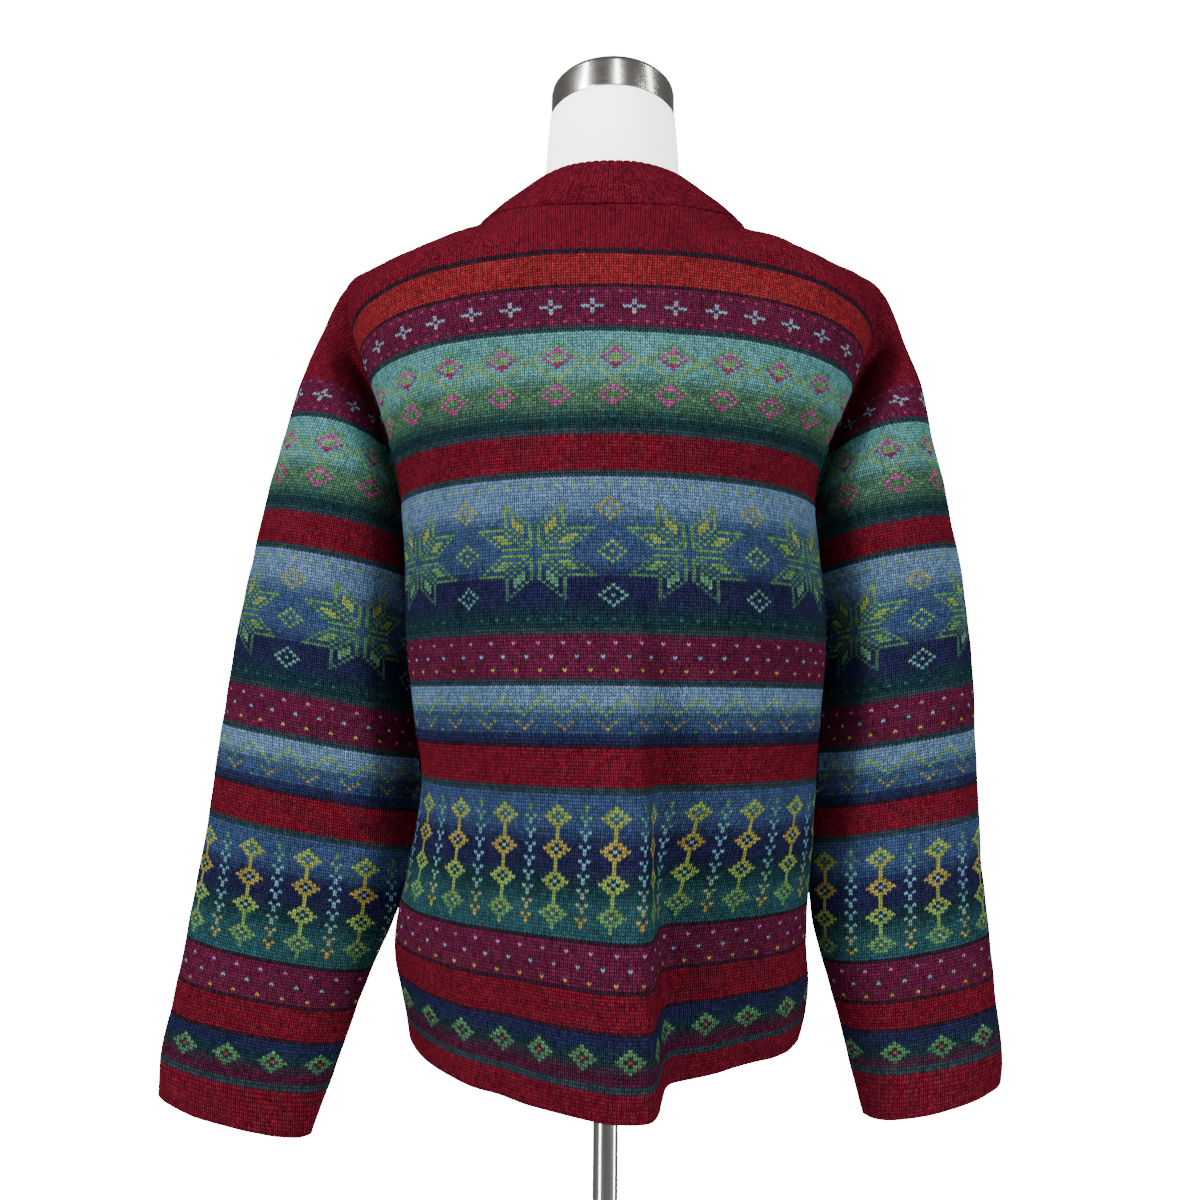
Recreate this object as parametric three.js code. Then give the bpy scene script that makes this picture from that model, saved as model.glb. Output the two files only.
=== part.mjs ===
// A long-sleeved knitted cardigan on a limbless dress form with a round stand.
// Millimetres, +Z up. The garment's front faces -Y and its back faces +Y, so the
// wearer's left is +X. The origin is the middle of the stand's underside.
import * as THREE from 'three';

// ---- driving sizes -------------------------------------------------------
const WALL = 2.5;             // thickness of the knitted cloth
const SEAM = 0.3;             // gap between neighbouring pieces
const HEM_Z = 741;            // lower edge of fronts, sides and back
const UNDERARM_Z = 1178;      // top of the side panels
const YOKE_BACK_Z = 1338;     // above this the back fans out to neck and shoulder
const YOKE_FRONT_Z = 1296;    // the same on the fronts
const TIP_Z = 1360;           // outer end of the shoulder seams
const SIDE_HOLLOW = 5;        // how far the sleeves press the side panels in
const BAND_HALF = 18;         // half the width of the button bands
const BUTTON_R = 7.5;
const BUTTON_COUNT = 7;
const HEM_RISE_LEFT = { rise: 15, power: 5 };      // the back's hem lifts towards its side edges
const HEM_RISE_RIGHT = { rise: 20, power: 1.6 };
const POLE_R = 9.5;
const NECK_TOP_Z = 1506;
const CAP_TOP_Z = 1535;

const ARMHOLE_EASE = 1.9;     // sideways gap between the body's edge and the sleeve's
const UNDERARM_EASE = 2.5;    // drop of the side panels' tops below the sleeves
const NECKBAND_FOOT = 0.022;  // where the neckband starts above the neck seam
const NECKBAND_BELLY = 2;     // how far the neckband swells between its edges
const BAND_UNDER = 9;         // how far the left band reaches past the middle
const BAND_STEP = 7;          // width of the bend where a button band leaves its front
const BUTTON_THICK = 2.2;
const BUTTON_LIFT = 0.6;      // gap between a button's back and the curved band
const BUTTON_HOLE_X = 1.7;
const BUTTON_HOLE_R = 0.9;
const BUTTON_TOP = 0.975;     // first and last button, as shares of the band's length
const BUTTON_LOW = 0.045;
const POLE_FOOT_Z = 10.3;

// Half sections as radius and height.
const CAP_PROFILE = [[0, 1506.3], [53, 1506.3], [53, 1530], [51, 1533.4], [46, 1535], [0, CAP_TOP_Z + 1]];
const BASE_PROFILE = [
  [0, 0], [190, 0], [190, 4], [186, 7], [60, 13], [24, 16], [21, 20], [21, 62], [18, 65],
  [POLE_R + 0.3, 65], [POLE_R + 0.3, 10], [0, 10],
];

// How far the cloth stands out at each height. left and right are the X of the
// side edges, backEdge and frontEdge their Y, back and front the middle's Y, and
// round is the exponent of the curve from the middle to the edge.
const BODY = [
  { z: 741, left: 147, right: 143, backEdge: 4, frontEdge: -42, back: 104, front: -128, round: 1.6 },
  { z: 785, left: 151, right: 151, backEdge: 4, frontEdge: -43, back: 104, front: -129, round: 1.6 },
  { z: 828, left: 160, right: 150, backEdge: 5, frontEdge: -44, back: 105, front: -130, round: 1.65 },
  { z: 889, left: 153, right: 155, backEdge: 6, frontEdge: -45, back: 108, front: -130, round: 1.75 },
  { z: 944, left: 146, right: 162, backEdge: 6, frontEdge: -46, back: 110, front: -131, round: 1.85 },
  { z: 1008, left: 155, right: 168, backEdge: 6, frontEdge: -47, back: 113, front: -133, round: 1.9 },
  { z: 1063, left: 162, right: 173, backEdge: 7, frontEdge: -48, back: 116, front: -136, round: 1.9 },
  { z: 1110, left: 164, right: 170, backEdge: 8, frontEdge: -48, back: 118, front: -139, round: 1.9 },
  { z: 1178, left: 170, right: 165, backEdge: 12, frontEdge: -46, back: 119, front: -141, round: 1.9 },
  { z: 1216, left: 179, right: 175, backEdge: 15, frontEdge: -43, back: 118, front: -138, round: 1.9 },
  { z: 1250, left: 190, right: 191, backEdge: 17, frontEdge: -38, back: 115, front: -131, round: 1.9 },
  { z: 1285, left: 204, right: 205, backEdge: 17, frontEdge: -31, back: 112, front: -121, round: 1.85 },
  { z: 1318, left: 217, right: 218, backEdge: 13, frontEdge: -20, back: 108, front: -110, round: 1.8 },
  { z: 1338, left: 221, right: 223, backEdge: 7, frontEdge: -11, back: 104, front: -103, round: 1.8 },
  { z: 1360, left: 223, right: 227, backEdge: 0, frontEdge: 0, back: 98, front: -96, round: 1.8 },
];

// How far each knitted row sinks from the middle of a piece to its side edge.
const DROOP = [
  { z: 741, sink: 0 },
  { z: 960, sink: 0 },
  { z: 1104, sink: 9 },
  { z: 1235, sink: 15 },
  { z: 1340, sink: 20 },
];

// Shoulder seams from the neck to the tip.
const SHOULDER = [
  { x: 103, z: 1411 },
  { x: 130, z: 1401 },
  { x: 160, z: 1390 },
  { x: 200, z: 1374 },
  { x: 216, z: 1367 },
  { x: 225, z: TIP_Z },
];

// Neck seam and the neckband's top edge, as half ovals: side is at X, back and
// front are at the middle.
const NECK_SEAM = { side: 103, sideZ: 1411, back: 84, backZ: 1387, front: -101, frontZ: 1346 };
const NECK_TOP = { side: 73, sideZ: 1430, back: 75, backZ: 1428, front: -86, frontZ: 1384 };

// Folds of the body cloth. A step moves the cloth to one side of x out and the
// other side in, a trough moves it in. depth grows from topZ to lowZ.
const FOLDS = [
  { kind: 'step', face: 'back', topX: -22, lowX: -29, topZ: 1130, lowZ: 800, depth: 26, wide: 7, reach: 72 },
  { kind: 'trough', face: 'back', topX: 104, lowX: 112, topZ: 1130, lowZ: 960, depth: 5, wide: 9, reach: 0 },
  { kind: 'trough', face: 'back', topX: 62, lowX: 72, topZ: 930, lowZ: 744, depth: 4, wide: 16, reach: 0 },
  { kind: 'trough', face: 'back', topX: -92, lowX: -98, topZ: 960, lowZ: 744, depth: 5, wide: 15, reach: 0 },
  { kind: 'trough', face: 'front', topX: 66, lowX: 76, topZ: 1080, lowZ: 744, depth: 8, wide: 15, reach: 0 },
  { kind: 'trough', face: 'front', topX: -58, lowX: -72, topZ: 1060, lowZ: 744, depth: 9, wide: 16, reach: 0 },
  { kind: 'trough', face: 'front', topX: 118, lowX: 120, topZ: 1190, lowZ: 900, depth: 5, wide: 13, reach: 0 },
  { kind: 'trough', face: 'front', topX: -116, lowX: -112, topZ: 1200, lowZ: 860, depth: 5, wide: 13, reach: 0 },
];

// Sleeve sections from the shoulder to the cuff. out is the point furthest from
// the body and inn the one nearest to it; back and front are the half depths.
const SLEEVE_LEFT = [
  { outX: 250, outZ: 1284, innX: 176, innZ: 1152, midY: -6, deep: 54 },
  { outX: 267, outZ: 1220, innX: 173, innZ: 1112, midY: -9, deep: 61 },
  { outX: 284, outZ: 1150, innX: 170, innZ: 1075, midY: -11, deep: 59 },
  { outX: 296, outZ: 1075, innX: 164, innZ: 1028, midY: -12, deep: 53 },
  { outX: 306, outZ: 1000, innX: 156, innZ: 965, midY: -12, deep: 46 },
  { outX: 313, outZ: 925, innX: 154, innZ: 903, midY: -10, deep: 39 },
  { outX: 321, outZ: 856, innX: 170, innZ: 846, midY: -7, deep: 33 },
  { outX: 330, outZ: 785, innX: 192, innZ: 790, midY: -4, deep: 29 },
  { outX: 338, outZ: 740, innX: 209, innZ: 738, midY: -2, deep: 26 },
  { outX: 338, outZ: 714, innX: 229, innZ: 686, midY: 0, deep: 23 },
];
const SLEEVE_RIGHT = [
  { outX: 250, outZ: 1286, innX: 173, innZ: 1152, midY: -6, deep: 56 },
  { outX: 263, outZ: 1222, innX: 175, innZ: 1112, midY: -9, deep: 62 },
  { outX: 278, outZ: 1150, innX: 179, innZ: 1072, midY: -11, deep: 60 },
  { outX: 287, outZ: 1075, innX: 178, innZ: 1028, midY: -11, deep: 56 },
  { outX: 291, outZ: 1000, innX: 172, innZ: 968, midY: -10, deep: 50 },
  { outX: 292, outZ: 925, innX: 165, innZ: 905, midY: -8, deep: 44 },
  { outX: 294, outZ: 856, innX: 166, innZ: 845, midY: -5, deep: 39 },
  { outX: 298, outZ: 790, innX: 180, innZ: 792, midY: -2, deep: 35 },
  { outX: 300, outZ: 748, innX: 192, innZ: 742, midY: 0, deep: 32 },
  { outX: 298, outZ: 730, innX: 201, innZ: 707, midY: 0, deep: 30 },
];

// Soft bends across the sleeves: turn is the angle round the sleeve in degrees
// (0 outside, 90 back), along runs from 0 at the armhole to 1 at the cuff.
const SLEEVE_CREASES = [
  { side: 1, turn: 118, along: 0.66, depth: 6, wideTurn: 34, wideAlong: 0.03 },
  { side: 1, turn: 150, along: 0.30, depth: 5, wideTurn: 30, wideAlong: 0.06 },
  { side: 1, turn: 262, along: 0.52, depth: 6, wideTurn: 34, wideAlong: 0.035 },
  { side: -1, turn: 128, along: 0.60, depth: 4, wideTurn: 30, wideAlong: 0.04 },
  { side: -1, turn: 140, along: 0.28, depth: 5, wideTurn: 28, wideAlong: 0.07 },
  { side: -1, turn: 256, along: 0.48, depth: 6, wideTurn: 32, wideAlong: 0.035 },
];

// The form under the cloth: halfX wide, back and front deep at each height.
const TORSO = [
  { z: 782, halfX: 134, back: 60, front: -84 },
  { z: 850, halfX: 134, back: 62, front: -88 },
  { z: 930, halfX: 124, back: 64, front: -84 },
  { z: 1000, halfX: 114, back: 68, front: -84 },
  { z: 1060, halfX: 120, back: 76, front: -94 },
  { z: 1120, halfX: 132, back: 88, front: -112 },
  { z: 1180, halfX: 142, back: 92, front: -120 },
  { z: 1240, halfX: 154, back: 90, front: -108 },
  { z: 1300, halfX: 172, back: 80, front: -84 },
  { z: 1340, halfX: 186, back: 64, front: -62 },
  { z: 1366, halfX: 180, back: 46, front: -44 },
  { z: 1380, halfX: 157, back: 40, front: -38 },
  { z: 1392, halfX: 129, back: 42, front: -40 },
  { z: 1403.4, halfX: 102, back: 46, front: -44 },
  { z: 1414, halfX: 80, back: 52, front: -52 },
  { z: 1430, halfX: 65, back: 55, front: -55 },
  { z: 1452, halfX: 58, back: 55, front: -55 },
  { z: 1480, halfX: 56, back: 54, front: -54 },
  { z: NECK_TOP_Z, halfX: 54, back: 53, front: -53 },
];

// ---- small helpers -------------------------------------------------------
const lerp = THREE.MathUtils.lerp;
const clamp = THREE.MathUtils.clamp;
const smooth = (t) => THREE.MathUtils.smoothstep(t, 0, 1);
const point = (x, y, z) => new THREE.Vector3(x, y, z);

// A row of the table at height key, with every column run through it smoothly.
function rowAt(table, column, key) {
  const last = table.length - 1;
  const up = table[last][column] > table[0][column] ? 1 : -1;
  let i = 0;
  while (i < last - 1 && (key - table[i + 1][column]) * up > 0) {
    i += 1;
  }
  const a = table[Math.max(i - 1, 0)];
  const b = table[i];
  const c = table[i + 1];
  const d = table[Math.min(i + 2, last)];
  const t = clamp((key - b[column]) / (c[column] - b[column]), 0, 1);
  const row = {};
  for (const name of Object.keys(b)) {
    const m0 = (c[name] - a[name]) / ((c[column] - a[column]) || 1) * (c[column] - b[column]);
    const m1 = (d[name] - b[name]) / ((d[column] - b[column]) || 1) * (c[column] - b[column]);
    row[name] = hermite(b[name], c[name], m0, m1, t);
  }
  return row;
}

function hermite(p0, p1, m0, m1, t) {
  const t2 = t * t;
  const t3 = t2 * t;
  return (2 * t3 - 3 * t2 + 1) * p0 + (t3 - 2 * t2 + t) * m0 + (3 * t2 - 2 * t3) * p1 + (t3 - t2) * m1;
}

function hermitePoint(p0, p1, m0, m1, t) {
  return point(
    hermite(p0.x, p1.x, m0.x, m1.x, t),
    hermite(p0.y, p1.y, m0.y, m1.y, t),
    hermite(p0.z, p1.z, m0.z, m1.z, t),
  );
}

// A run of points that can be read at any share of its length.
function measured(points) {
  const lengths = [0];
  for (let i = 1; i < points.length; i += 1) {
    lengths.push(lengths[i - 1] + points[i].distanceTo(points[i - 1]));
  }
  const total = lengths[lengths.length - 1];
  return {
    total,
    at(share) {
      const want = clamp(share, 0, 1) * total;
      let i = 1;
      while (i < points.length - 1 && lengths[i] < want) {
        i += 1;
      }
      const t = (want - lengths[i - 1]) / (lengths[i] - lengths[i - 1]);
      return points[i - 1].clone().lerp(points[i], t);
    },
  };
}

// ---- the body's cloth ----------------------------------------------------
function foldOffset(face, x, z) {
  let offset = 0;
  for (const fold of FOLDS) {
    if (fold.face !== face) {
      continue;
    }
    const run = (fold.topZ - z) / (fold.topZ - fold.lowZ);
    const grown = smooth(clamp(run, 0, 1));
    const away = x - lerp(fold.topX, fold.lowX, clamp(run, 0, 1.2));
    if (fold.kind === 'step') {
      offset += fold.depth * grown * Math.tanh(away / fold.wide) * Math.exp(-((away / fold.reach) ** 2));
    } else {
      offset -= fold.depth * grown * Math.exp(-((away / fold.wide) ** 2));
    }
  }
  return offset;
}

// Half a row of the back or a front, from the middle to the edge at side.
function halfRow(face, side, z) {
  const row = rowAt(BODY, 'z', z);
  const reach = side > 0 ? row.left : row.right;
  const edge = face === 'back' ? row.backEdge : row.frontEdge;
  const middle = face === 'back' ? row.back : row.front;
  const outward = Math.sign(middle);
  const points = [];
  const steps = 72;
  for (let i = 0; i <= steps; i += 1) {
    const turn = (i / steps) * Math.PI / 2;
    const x = side * reach * Math.sin(turn) ** (2 / row.round);
    const y = edge + (middle - edge) * Math.cos(turn) ** (2 / row.round);
    const nearEdge = 1 - smooth(clamp((Math.abs(x) / reach - 0.75) / 0.2, 0, 1));
    points.push(point(x, y + outward * foldOffset(face, x, z) * nearEdge, z));
  }
  return points;
}

const rowCache = new Map();
function bodyRow(piece, z) {
  const key = `${piece} ${z.toFixed(3)}`;
  if (!rowCache.has(key)) {
    let points;
    if (piece === 'back') {
      points = halfRow('back', -1, z).reverse().concat(halfRow('back', 1, z).slice(1));
    } else {
      const side = piece === 'front_left' ? 1 : -1;
      const half = halfRow('front', side, z);
      const cut = half.findIndex((p) => Math.abs(p.x) > BAND_HALF);
      const [a, b] = [half[cut - 1], half[cut]];
      const t = (BAND_HALF - Math.abs(a.x)) / (Math.abs(b.x) - Math.abs(a.x));
      points = [a.clone().lerp(b, t)].concat(half.slice(cut));
    }
    rowCache.set(key, measured(points));
  }
  return rowCache.get(key);
}

// Neck ovals: turn is 0 at the side and 90 degrees at the middle.
function neckPoint(oval, face, side, turn) {
  const c = Math.cos(turn);
  const s = Math.sin(turn);
  const deep = face === 'back' ? oval.back : oval.front;
  const low = face === 'back' ? oval.backZ : oval.frontZ;
  const power = face === 'back' ? 1.4 : 1.5;
  return point(side * oval.side * c, deep * s, oval.sideZ + (low - oval.sideZ) * s ** power);
}

const topCache = new Map();
function topEdge(piece) {
  if (!topCache.has(piece)) {
    const face = piece === 'back' ? 'back' : 'front';
    const side = piece === 'front_right' ? -1 : 1;
    const neckSteps = 24;
    const last = face === 'back' ? Math.PI / 2 : Math.acos(BAND_HALF / NECK_SEAM.side);
    const half = [];
    for (let i = 0; i < neckSteps; i += 1) {
      half.push(neckPoint(NECK_SEAM, face, side, last * (1 - i / neckSteps)));
    }
    const tip = rowAt(BODY, 'z', TIP_Z);
    const reach = side > 0 ? tip.left : tip.right;
    const spread = (reach - SHOULDER[0].x) / (SHOULDER.at(-1).x - SHOULDER[0].x);
    for (const seam of SHOULDER) {
      half.push(point(side * (SHOULDER[0].x + (seam.x - SHOULDER[0].x) * spread), 0, seam.z));
    }
    if (face === 'back') {
      const spreadRight = (tip.right - SHOULDER[0].x) / (SHOULDER.at(-1).x - SHOULDER[0].x);
      const other = half.slice(1, neckSteps).map((p) => point(-p.x, p.y, p.z));
      for (const seam of SHOULDER) {
        other.push(point(-(SHOULDER[0].x + (seam.x - SHOULDER[0].x) * spreadRight), 0, seam.z));
      }
      topCache.set(piece, measured(other.reverse().concat(half)));
    } else {
      topCache.set(piece, measured(half));
    }
  }
  return topCache.get(piece);
}

// A knitted row starts level at height z and sinks towards the side edge.
function rowPoint(piece, z, u) {
  const across = piece === 'back' ? Math.abs(2 * u - 1) : u;
  const sink = rowAt(DROOP, 'z', z).sink * across ** 2.5;
  return bodyRow(piece, z - sink).at(u);
}

// How far the hem sits above its lowest point.
function hemRise(piece, u) {
  const away = piece === 'back' ? 2 * u - 1 : (piece === 'front_left' ? u : -u);
  const edge = away > 0 ? HEM_RISE_LEFT : HEM_RISE_RIGHT;
  return edge.rise * Math.abs(away) ** edge.power;
}

// A point of the back or a front. u runs across the piece and v up it.
const YOKE_SHARE = { back: 0.87, front_left: 0.84, front_right: 0.84 };
function bodyPoint(piece, u, v) {
  const yokeZ = piece === 'back' ? YOKE_BACK_Z : YOKE_FRONT_Z;
  const share = YOKE_SHARE[piece];
  if (v <= share) {
    const lift = hemRise(piece, u) * (1 - v / share) ** 4;
    return rowPoint(piece, lerp(HEM_Z, yokeZ, v / share) + lift, u);
  }
  const t = (v - share) / (1 - share);
  const outward = piece === 'back' ? 1 : -1;
  const low = rowPoint(piece, yokeZ, u);
  const below = rowPoint(piece, yokeZ - 12, u);
  const high = topEdge(piece).at(u);
  const length = low.distanceTo(high);
  const rise = low.clone().sub(below).normalize().multiplyScalar(length);
  const across = Math.abs(u - (piece === 'back' ? 0.5 : 0)) * (piece === 'back' ? 2 : 1);
  const flat = smooth(clamp((across - 0.35) / 0.25, 0, 1));
  const arrive = point(0, -outward * lerp(0.25, 0.9, flat), lerp(0.95, 0.25, flat));
  arrive.normalize().multiplyScalar(length);
  return hermitePoint(low, high, rise, arrive, t);
}

function sidePoint(side, u, v) {
  const rise = side > 0 ? HEM_RISE_LEFT.rise : HEM_RISE_RIGHT.rise;
  const z = lerp(HEM_Z + rise, UNDERARM_Z - UNDERARM_EASE, v);
  const row = rowAt(BODY, 'z', z);
  const reach = side > 0 ? row.left : row.right;
  const hollow = SIDE_HOLLOW * (1 - (2 * u - 1) ** 2);
  return point(side * (reach - hollow), lerp(row.backEdge, row.frontEdge, u), z);
}

// ---- sleeves -------------------------------------------------------------
// The armhole runs from the shoulder tip down the back edge, under the arm and up
// the front edge.
const armholeCache = new Map();
function armhole(side) {
  if (!armholeCache.has(side)) {
    const points = [];
    const steps = 30;
    for (let i = 0; i <= steps; i += 1) {
      const row = rowAt(BODY, 'z', lerp(TIP_Z, UNDERARM_Z, i / steps));
      points.push(point(side > 0 ? row.left : row.right, row.backEdge, lerp(TIP_Z, UNDERARM_Z, i / steps)));
    }
    for (let i = 1; i < 10; i += 1) {
      const under = sidePoint(side, i / 10, 1);
      points.push(point(Math.abs(under.x), under.y, UNDERARM_Z));
    }
    for (let i = steps; i >= 0; i -= 1) {
      const row = rowAt(BODY, 'z', lerp(TIP_Z, UNDERARM_Z, i / steps));
      points.push(point(side > 0 ? row.left : row.right, row.frontEdge, lerp(TIP_Z, UNDERARM_Z, i / steps)));
    }
    armholeCache.set(side, measured(points));
  }
  return armholeCache.get(side);
}

// The ring of one table row at an angle round the sleeve.
function sleeveSection(section, turn) {
  const c = Math.cos(turn);
  const s = Math.sin(turn);
  const fat = 2 / 2.15;
  const along = Math.sign(c) * Math.abs(c) ** fat;
  const deep = Math.sign(s) * Math.abs(s) ** fat;
  return point(
    lerp(section.innX, section.outX, (1 + along) / 2),
    section.midY + section.deep * deep,
    lerp(section.innZ, section.outZ, (1 + along) / 2),
  );
}

function sleevePoint(side, u, v) {
  const table = side > 0 ? SLEEVE_LEFT : SLEEVE_RIGHT;
  const turn = u * 2 * Math.PI;
  const seam = armhole(side).at(u);
  seam.x += ARMHOLE_EASE;
  const rings = [seam].concat(table.map((section) => sleeveSection(section, turn)));
  const last = rings.length - 1;
  const place = v * last;
  const i = Math.min(Math.floor(place), last - 1);
  const before = i > 0 ? rings[i - 1] : rings[0].clone().sub(point(10, 0, -2));
  const after = rings[Math.min(i + 2, last)];
  const m0 = rings[i + 1].clone().sub(before).multiplyScalar(0.5);
  const m1 = after.clone().sub(rings[i]).multiplyScalar(0.5);
  const p = hermitePoint(rings[i], rings[i + 1], m0, m1, place - i);
  for (const crease of SLEEVE_CREASES) {
    if (crease.side !== side) {
      continue;
    }
    const a = (turn * 180 / Math.PI - crease.turn) / crease.wideTurn;
    const b = (v - crease.along) / crease.wideAlong;
    const middle = table[Math.min(i, table.length - 1)];
    p.y -= Math.sign(p.y - middle.midY) * crease.depth * Math.exp(-a * a - b * b);
  }
  p.x *= side;
  return p;
}

// ---- solids --------------------------------------------------------------
// A closed wall over a grid of points, with its thickness on the side away from
// the outward normal. A tube joins its first and last columns. mitre trims the
// inner points along a seam.
function wall(at, columns, rows, options = {}) {
  const { tube = false, flip = false, across = null, mitre = null } = options;
  const place = across ?? ((i) => i / columns);
  const wide = tube ? columns : columns + 1;
  const positions = [];
  const inner = [];
  const step = 1e-3;
  for (let j = 0; j <= rows; j += 1) {
    for (let i = 0; i < wide; i += 1) {
      const u = place(i);
      const v = j / rows;
      const p = at(u, v);
      const du = tube
        ? at((u + step) % 1, v).sub(at((u - step + 1) % 1, v))
        : at(Math.min(u + step, 1), v).sub(at(Math.max(u - step, 0), v));
      const dv = at(u, Math.min(v + step, 1)).sub(at(u, Math.max(v - step, 0)));
      const normal = du.cross(dv).normalize().multiplyScalar(flip ? -1 : 1);
      const q = p.clone().addScaledVector(normal, -WALL);
      if (mitre) {
        mitre(q, p, u, v);
      }
      positions.push(p.x, p.y, p.z);
      inner.push(q.x, q.y, q.z);
    }
  }
  const count = positions.length / 3;
  const index = [];
  const quad = (a, b, c, d) => (flip ? index.push(a, c, b, a, d, c) : index.push(a, b, c, a, c, d));
  const id = (i, j) => j * wide + (tube ? i % wide : i);
  for (let j = 0; j < rows; j += 1) {
    for (let i = 0; i < columns; i += 1) {
      const [a, b, c, d] = [id(i, j), id(i + 1, j), id(i + 1, j + 1), id(i, j + 1)];
      quad(a, b, c, d);
      quad(count + d, count + c, count + b, count + a);
    }
  }
  for (let i = 0; i < columns; i += 1) {
    const [a, b] = [id(i, 0), id(i + 1, 0)];
    quad(count + a, count + b, b, a);
    const [c, d] = [id(i, rows), id(i + 1, rows)];
    quad(c, d, count + d, count + c);
  }
  if (!tube) {
    for (let j = 0; j < rows; j += 1) {
      const [a, b] = [id(0, j), id(0, j + 1)];
      quad(count + b, count + a, a, b);
      const [c, d] = [id(columns, j), id(columns, j + 1)];
      quad(count + c, count + d, d, c);
    }
  }
  const geometry = new THREE.BufferGeometry();
  geometry.setAttribute('position', new THREE.Float32BufferAttribute(positions.concat(inner), 3));
  geometry.setIndex(index);
  return geometry;
}

// Rings of one size, closed at both ends by a middle point.
function loft(rings) {
  const wide = rings[0].length;
  const positions = [];
  for (const ring of rings) {
    for (const p of ring) {
      positions.push(p.x, p.y, p.z);
    }
  }
  const index = [];
  for (let j = 0; j < rings.length - 1; j += 1) {
    for (let i = 0; i < wide; i += 1) {
      const k = (i + 1) % wide;
      const [a, b, c, d] = [j * wide + i, j * wide + k, (j + 1) * wide + k, (j + 1) * wide + i];
      index.push(a, b, c, a, c, d);
    }
  }
  for (const [ring, start, up] of [[rings[0], 0, false], [rings.at(-1), (rings.length - 1) * wide, true]]) {
    const middle = positions.length / 3;
    const centre = ring.reduce((sum, p) => sum.add(p), point(0, 0, 0)).divideScalar(wide);
    positions.push(centre.x, centre.y, centre.z);
    for (let i = 0; i < wide; i += 1) {
      const [a, b] = [start + i, start + (i + 1) % wide];
      index.push(...(up ? [a, b, middle] : [b, a, middle]));
    }
  }
  const geometry = new THREE.BufferGeometry();
  geometry.setAttribute('position', new THREE.Float32BufferAttribute(positions, 3));
  geometry.setIndex(index);
  return geometry;
}

// ---- the pieces ----------------------------------------------------------
const group = new THREE.Group();
function add(name, geometry, color, roughness, metalness = 0) {
  const material = new THREE.MeshStandardMaterial({ color, roughness, metalness });
  const mesh = new THREE.Mesh(geometry, material);
  mesh.name = name;
  group.add(mesh);
  return mesh;
}

const RED_WOOL = 0x82192a;
const PATTERNED_WOOL = 0x3a5f95;
const PLUM_BUTTON = 0x4a2a30;

// Keeps a piece half a seam away from its neighbours, sideways and at its ends.
function inset(at, widthAt, height) {
  return (u, v) => {
    const side = SEAM / 2 / widthAt(v);
    const end = SEAM / 2 / height;
    return at(lerp(side, 1 - side, u), lerp(end, 1 - end, v));
  };
}

// Columns crowd round the deep fold of the back.
const BACK_COLUMNS = 38;
function backColumn(i) {
  const u = i / BACK_COLUMNS;
  const fold = 0.43;
  return u + 0.035 * Math.sin(2 * Math.PI * (fold - u)) * Math.exp(-(((u - fold) / 0.16) ** 2));
}

// Backs and fronts meet over the shoulders on the plane through the seams.
const mitreBack = (q) => q.setY(Math.max(q.y, SEAM / 2));
const mitreSide = (q, p, u) => (u === 0 || u === 1 ? q.setY(p.y) : q);
const mitreSleeve = (q, p, u, v) => (v === 0 ? q.setX(Math.sign(p.x) * Math.max(Math.abs(q.x), Math.abs(p.x))) : q);
function mitreFront(q, p, u) {
  q.setY(Math.min(q.y, -SEAM / 2));
  if (u === 0) {
    q.setX(p.x);
  }
}

function makeBack() {
  const at = inset((u, v) => bodyPoint('back', u, v), () => 440, 690);
  return wall(at, BACK_COLUMNS, 22, { flip: true, across: backColumn, mitre: mitreBack });
}

function makeFront(piece) {
  const at = inset((u, v) => bodyPoint(piece, u, v), () => 200, 640);
  return wall(at, 14, 20, { flip: piece === 'front_right', mitre: mitreFront });
}

function makeSide(side) {
  const at = inset((u, v) => sidePoint(side, u, v), () => 52, UNDERARM_Z - HEM_Z);
  return wall(at, 3, 14, { flip: side > 0, mitre: mitreSide });
}

function makeSleeve(side) {
  return wall((u, v) => sleevePoint(side, u, v), 22, 24, { tube: true, flip: side < 0, mitre: mitreSleeve });
}

// The neckband rises from the neck seam to the top edge. u runs 0 to 1 from the
// left button band round the back to the right one.
function neckbandPoint(u, v) {
  const widest = lerp(NECK_SEAM.side, NECK_TOP.side, v);
  const end = Math.acos((BAND_HALF + SEAM / 2) / widest);
  const turn = lerp(-end, Math.PI + end, u);
  const face = Math.sin(turn) >= 0 ? 'back' : 'front';
  const side = Math.cos(turn) >= 0 ? 1 : -1;
  const away = Math.asin(Math.abs(Math.sin(turn)));
  const low = neckPoint(NECK_SEAM, face, side, away);
  const high = neckPoint(NECK_TOP, face, side, away);
  const p = low.clone().lerp(high, lerp(NECKBAND_FOOT, 1, v));
  const out = point(p.x, p.y, 0).normalize().multiplyScalar(NECKBAND_BELLY * 4 * v * (1 - v));
  return p.add(out);
}

// Both button bands run down the fronts' edges, from the neckband's top to the
// hem. The left one lies flat and the right one steps out over it.
let frontEdge = null;
function buttonBandPoint(side, u, v) {
  if (!frontEdge) {
    const points = [];
    for (let i = 0; i <= 80; i += 1) {
      points.push(bodyPoint('front_left', 0, i / 80));
    }
    points.push(neckPoint(NECK_TOP, 'front', 1, Math.acos(BAND_HALF / NECK_TOP.side)));
    frontEdge = measured(points);
  }
  const free = side > 0 ? BAND_UNDER : BAND_HALF - SEAM;
  const x = lerp(-free, BAND_HALF - SEAM / 2, u);
  const p = frontEdge.at(v);
  const lap = side < 0 ? (WALL + 2 * SEAM) * smooth(clamp((BAND_HALF - x) / BAND_STEP, 0, 1)) : 0;
  return point(side * x, p.y - lap, p.z);
}

function makeNeckband() {
  const at = inset((u, v) => neckbandPoint(u, v), () => 480, 44);
  return wall(at, 44, 3, { flip: true });
}

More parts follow.
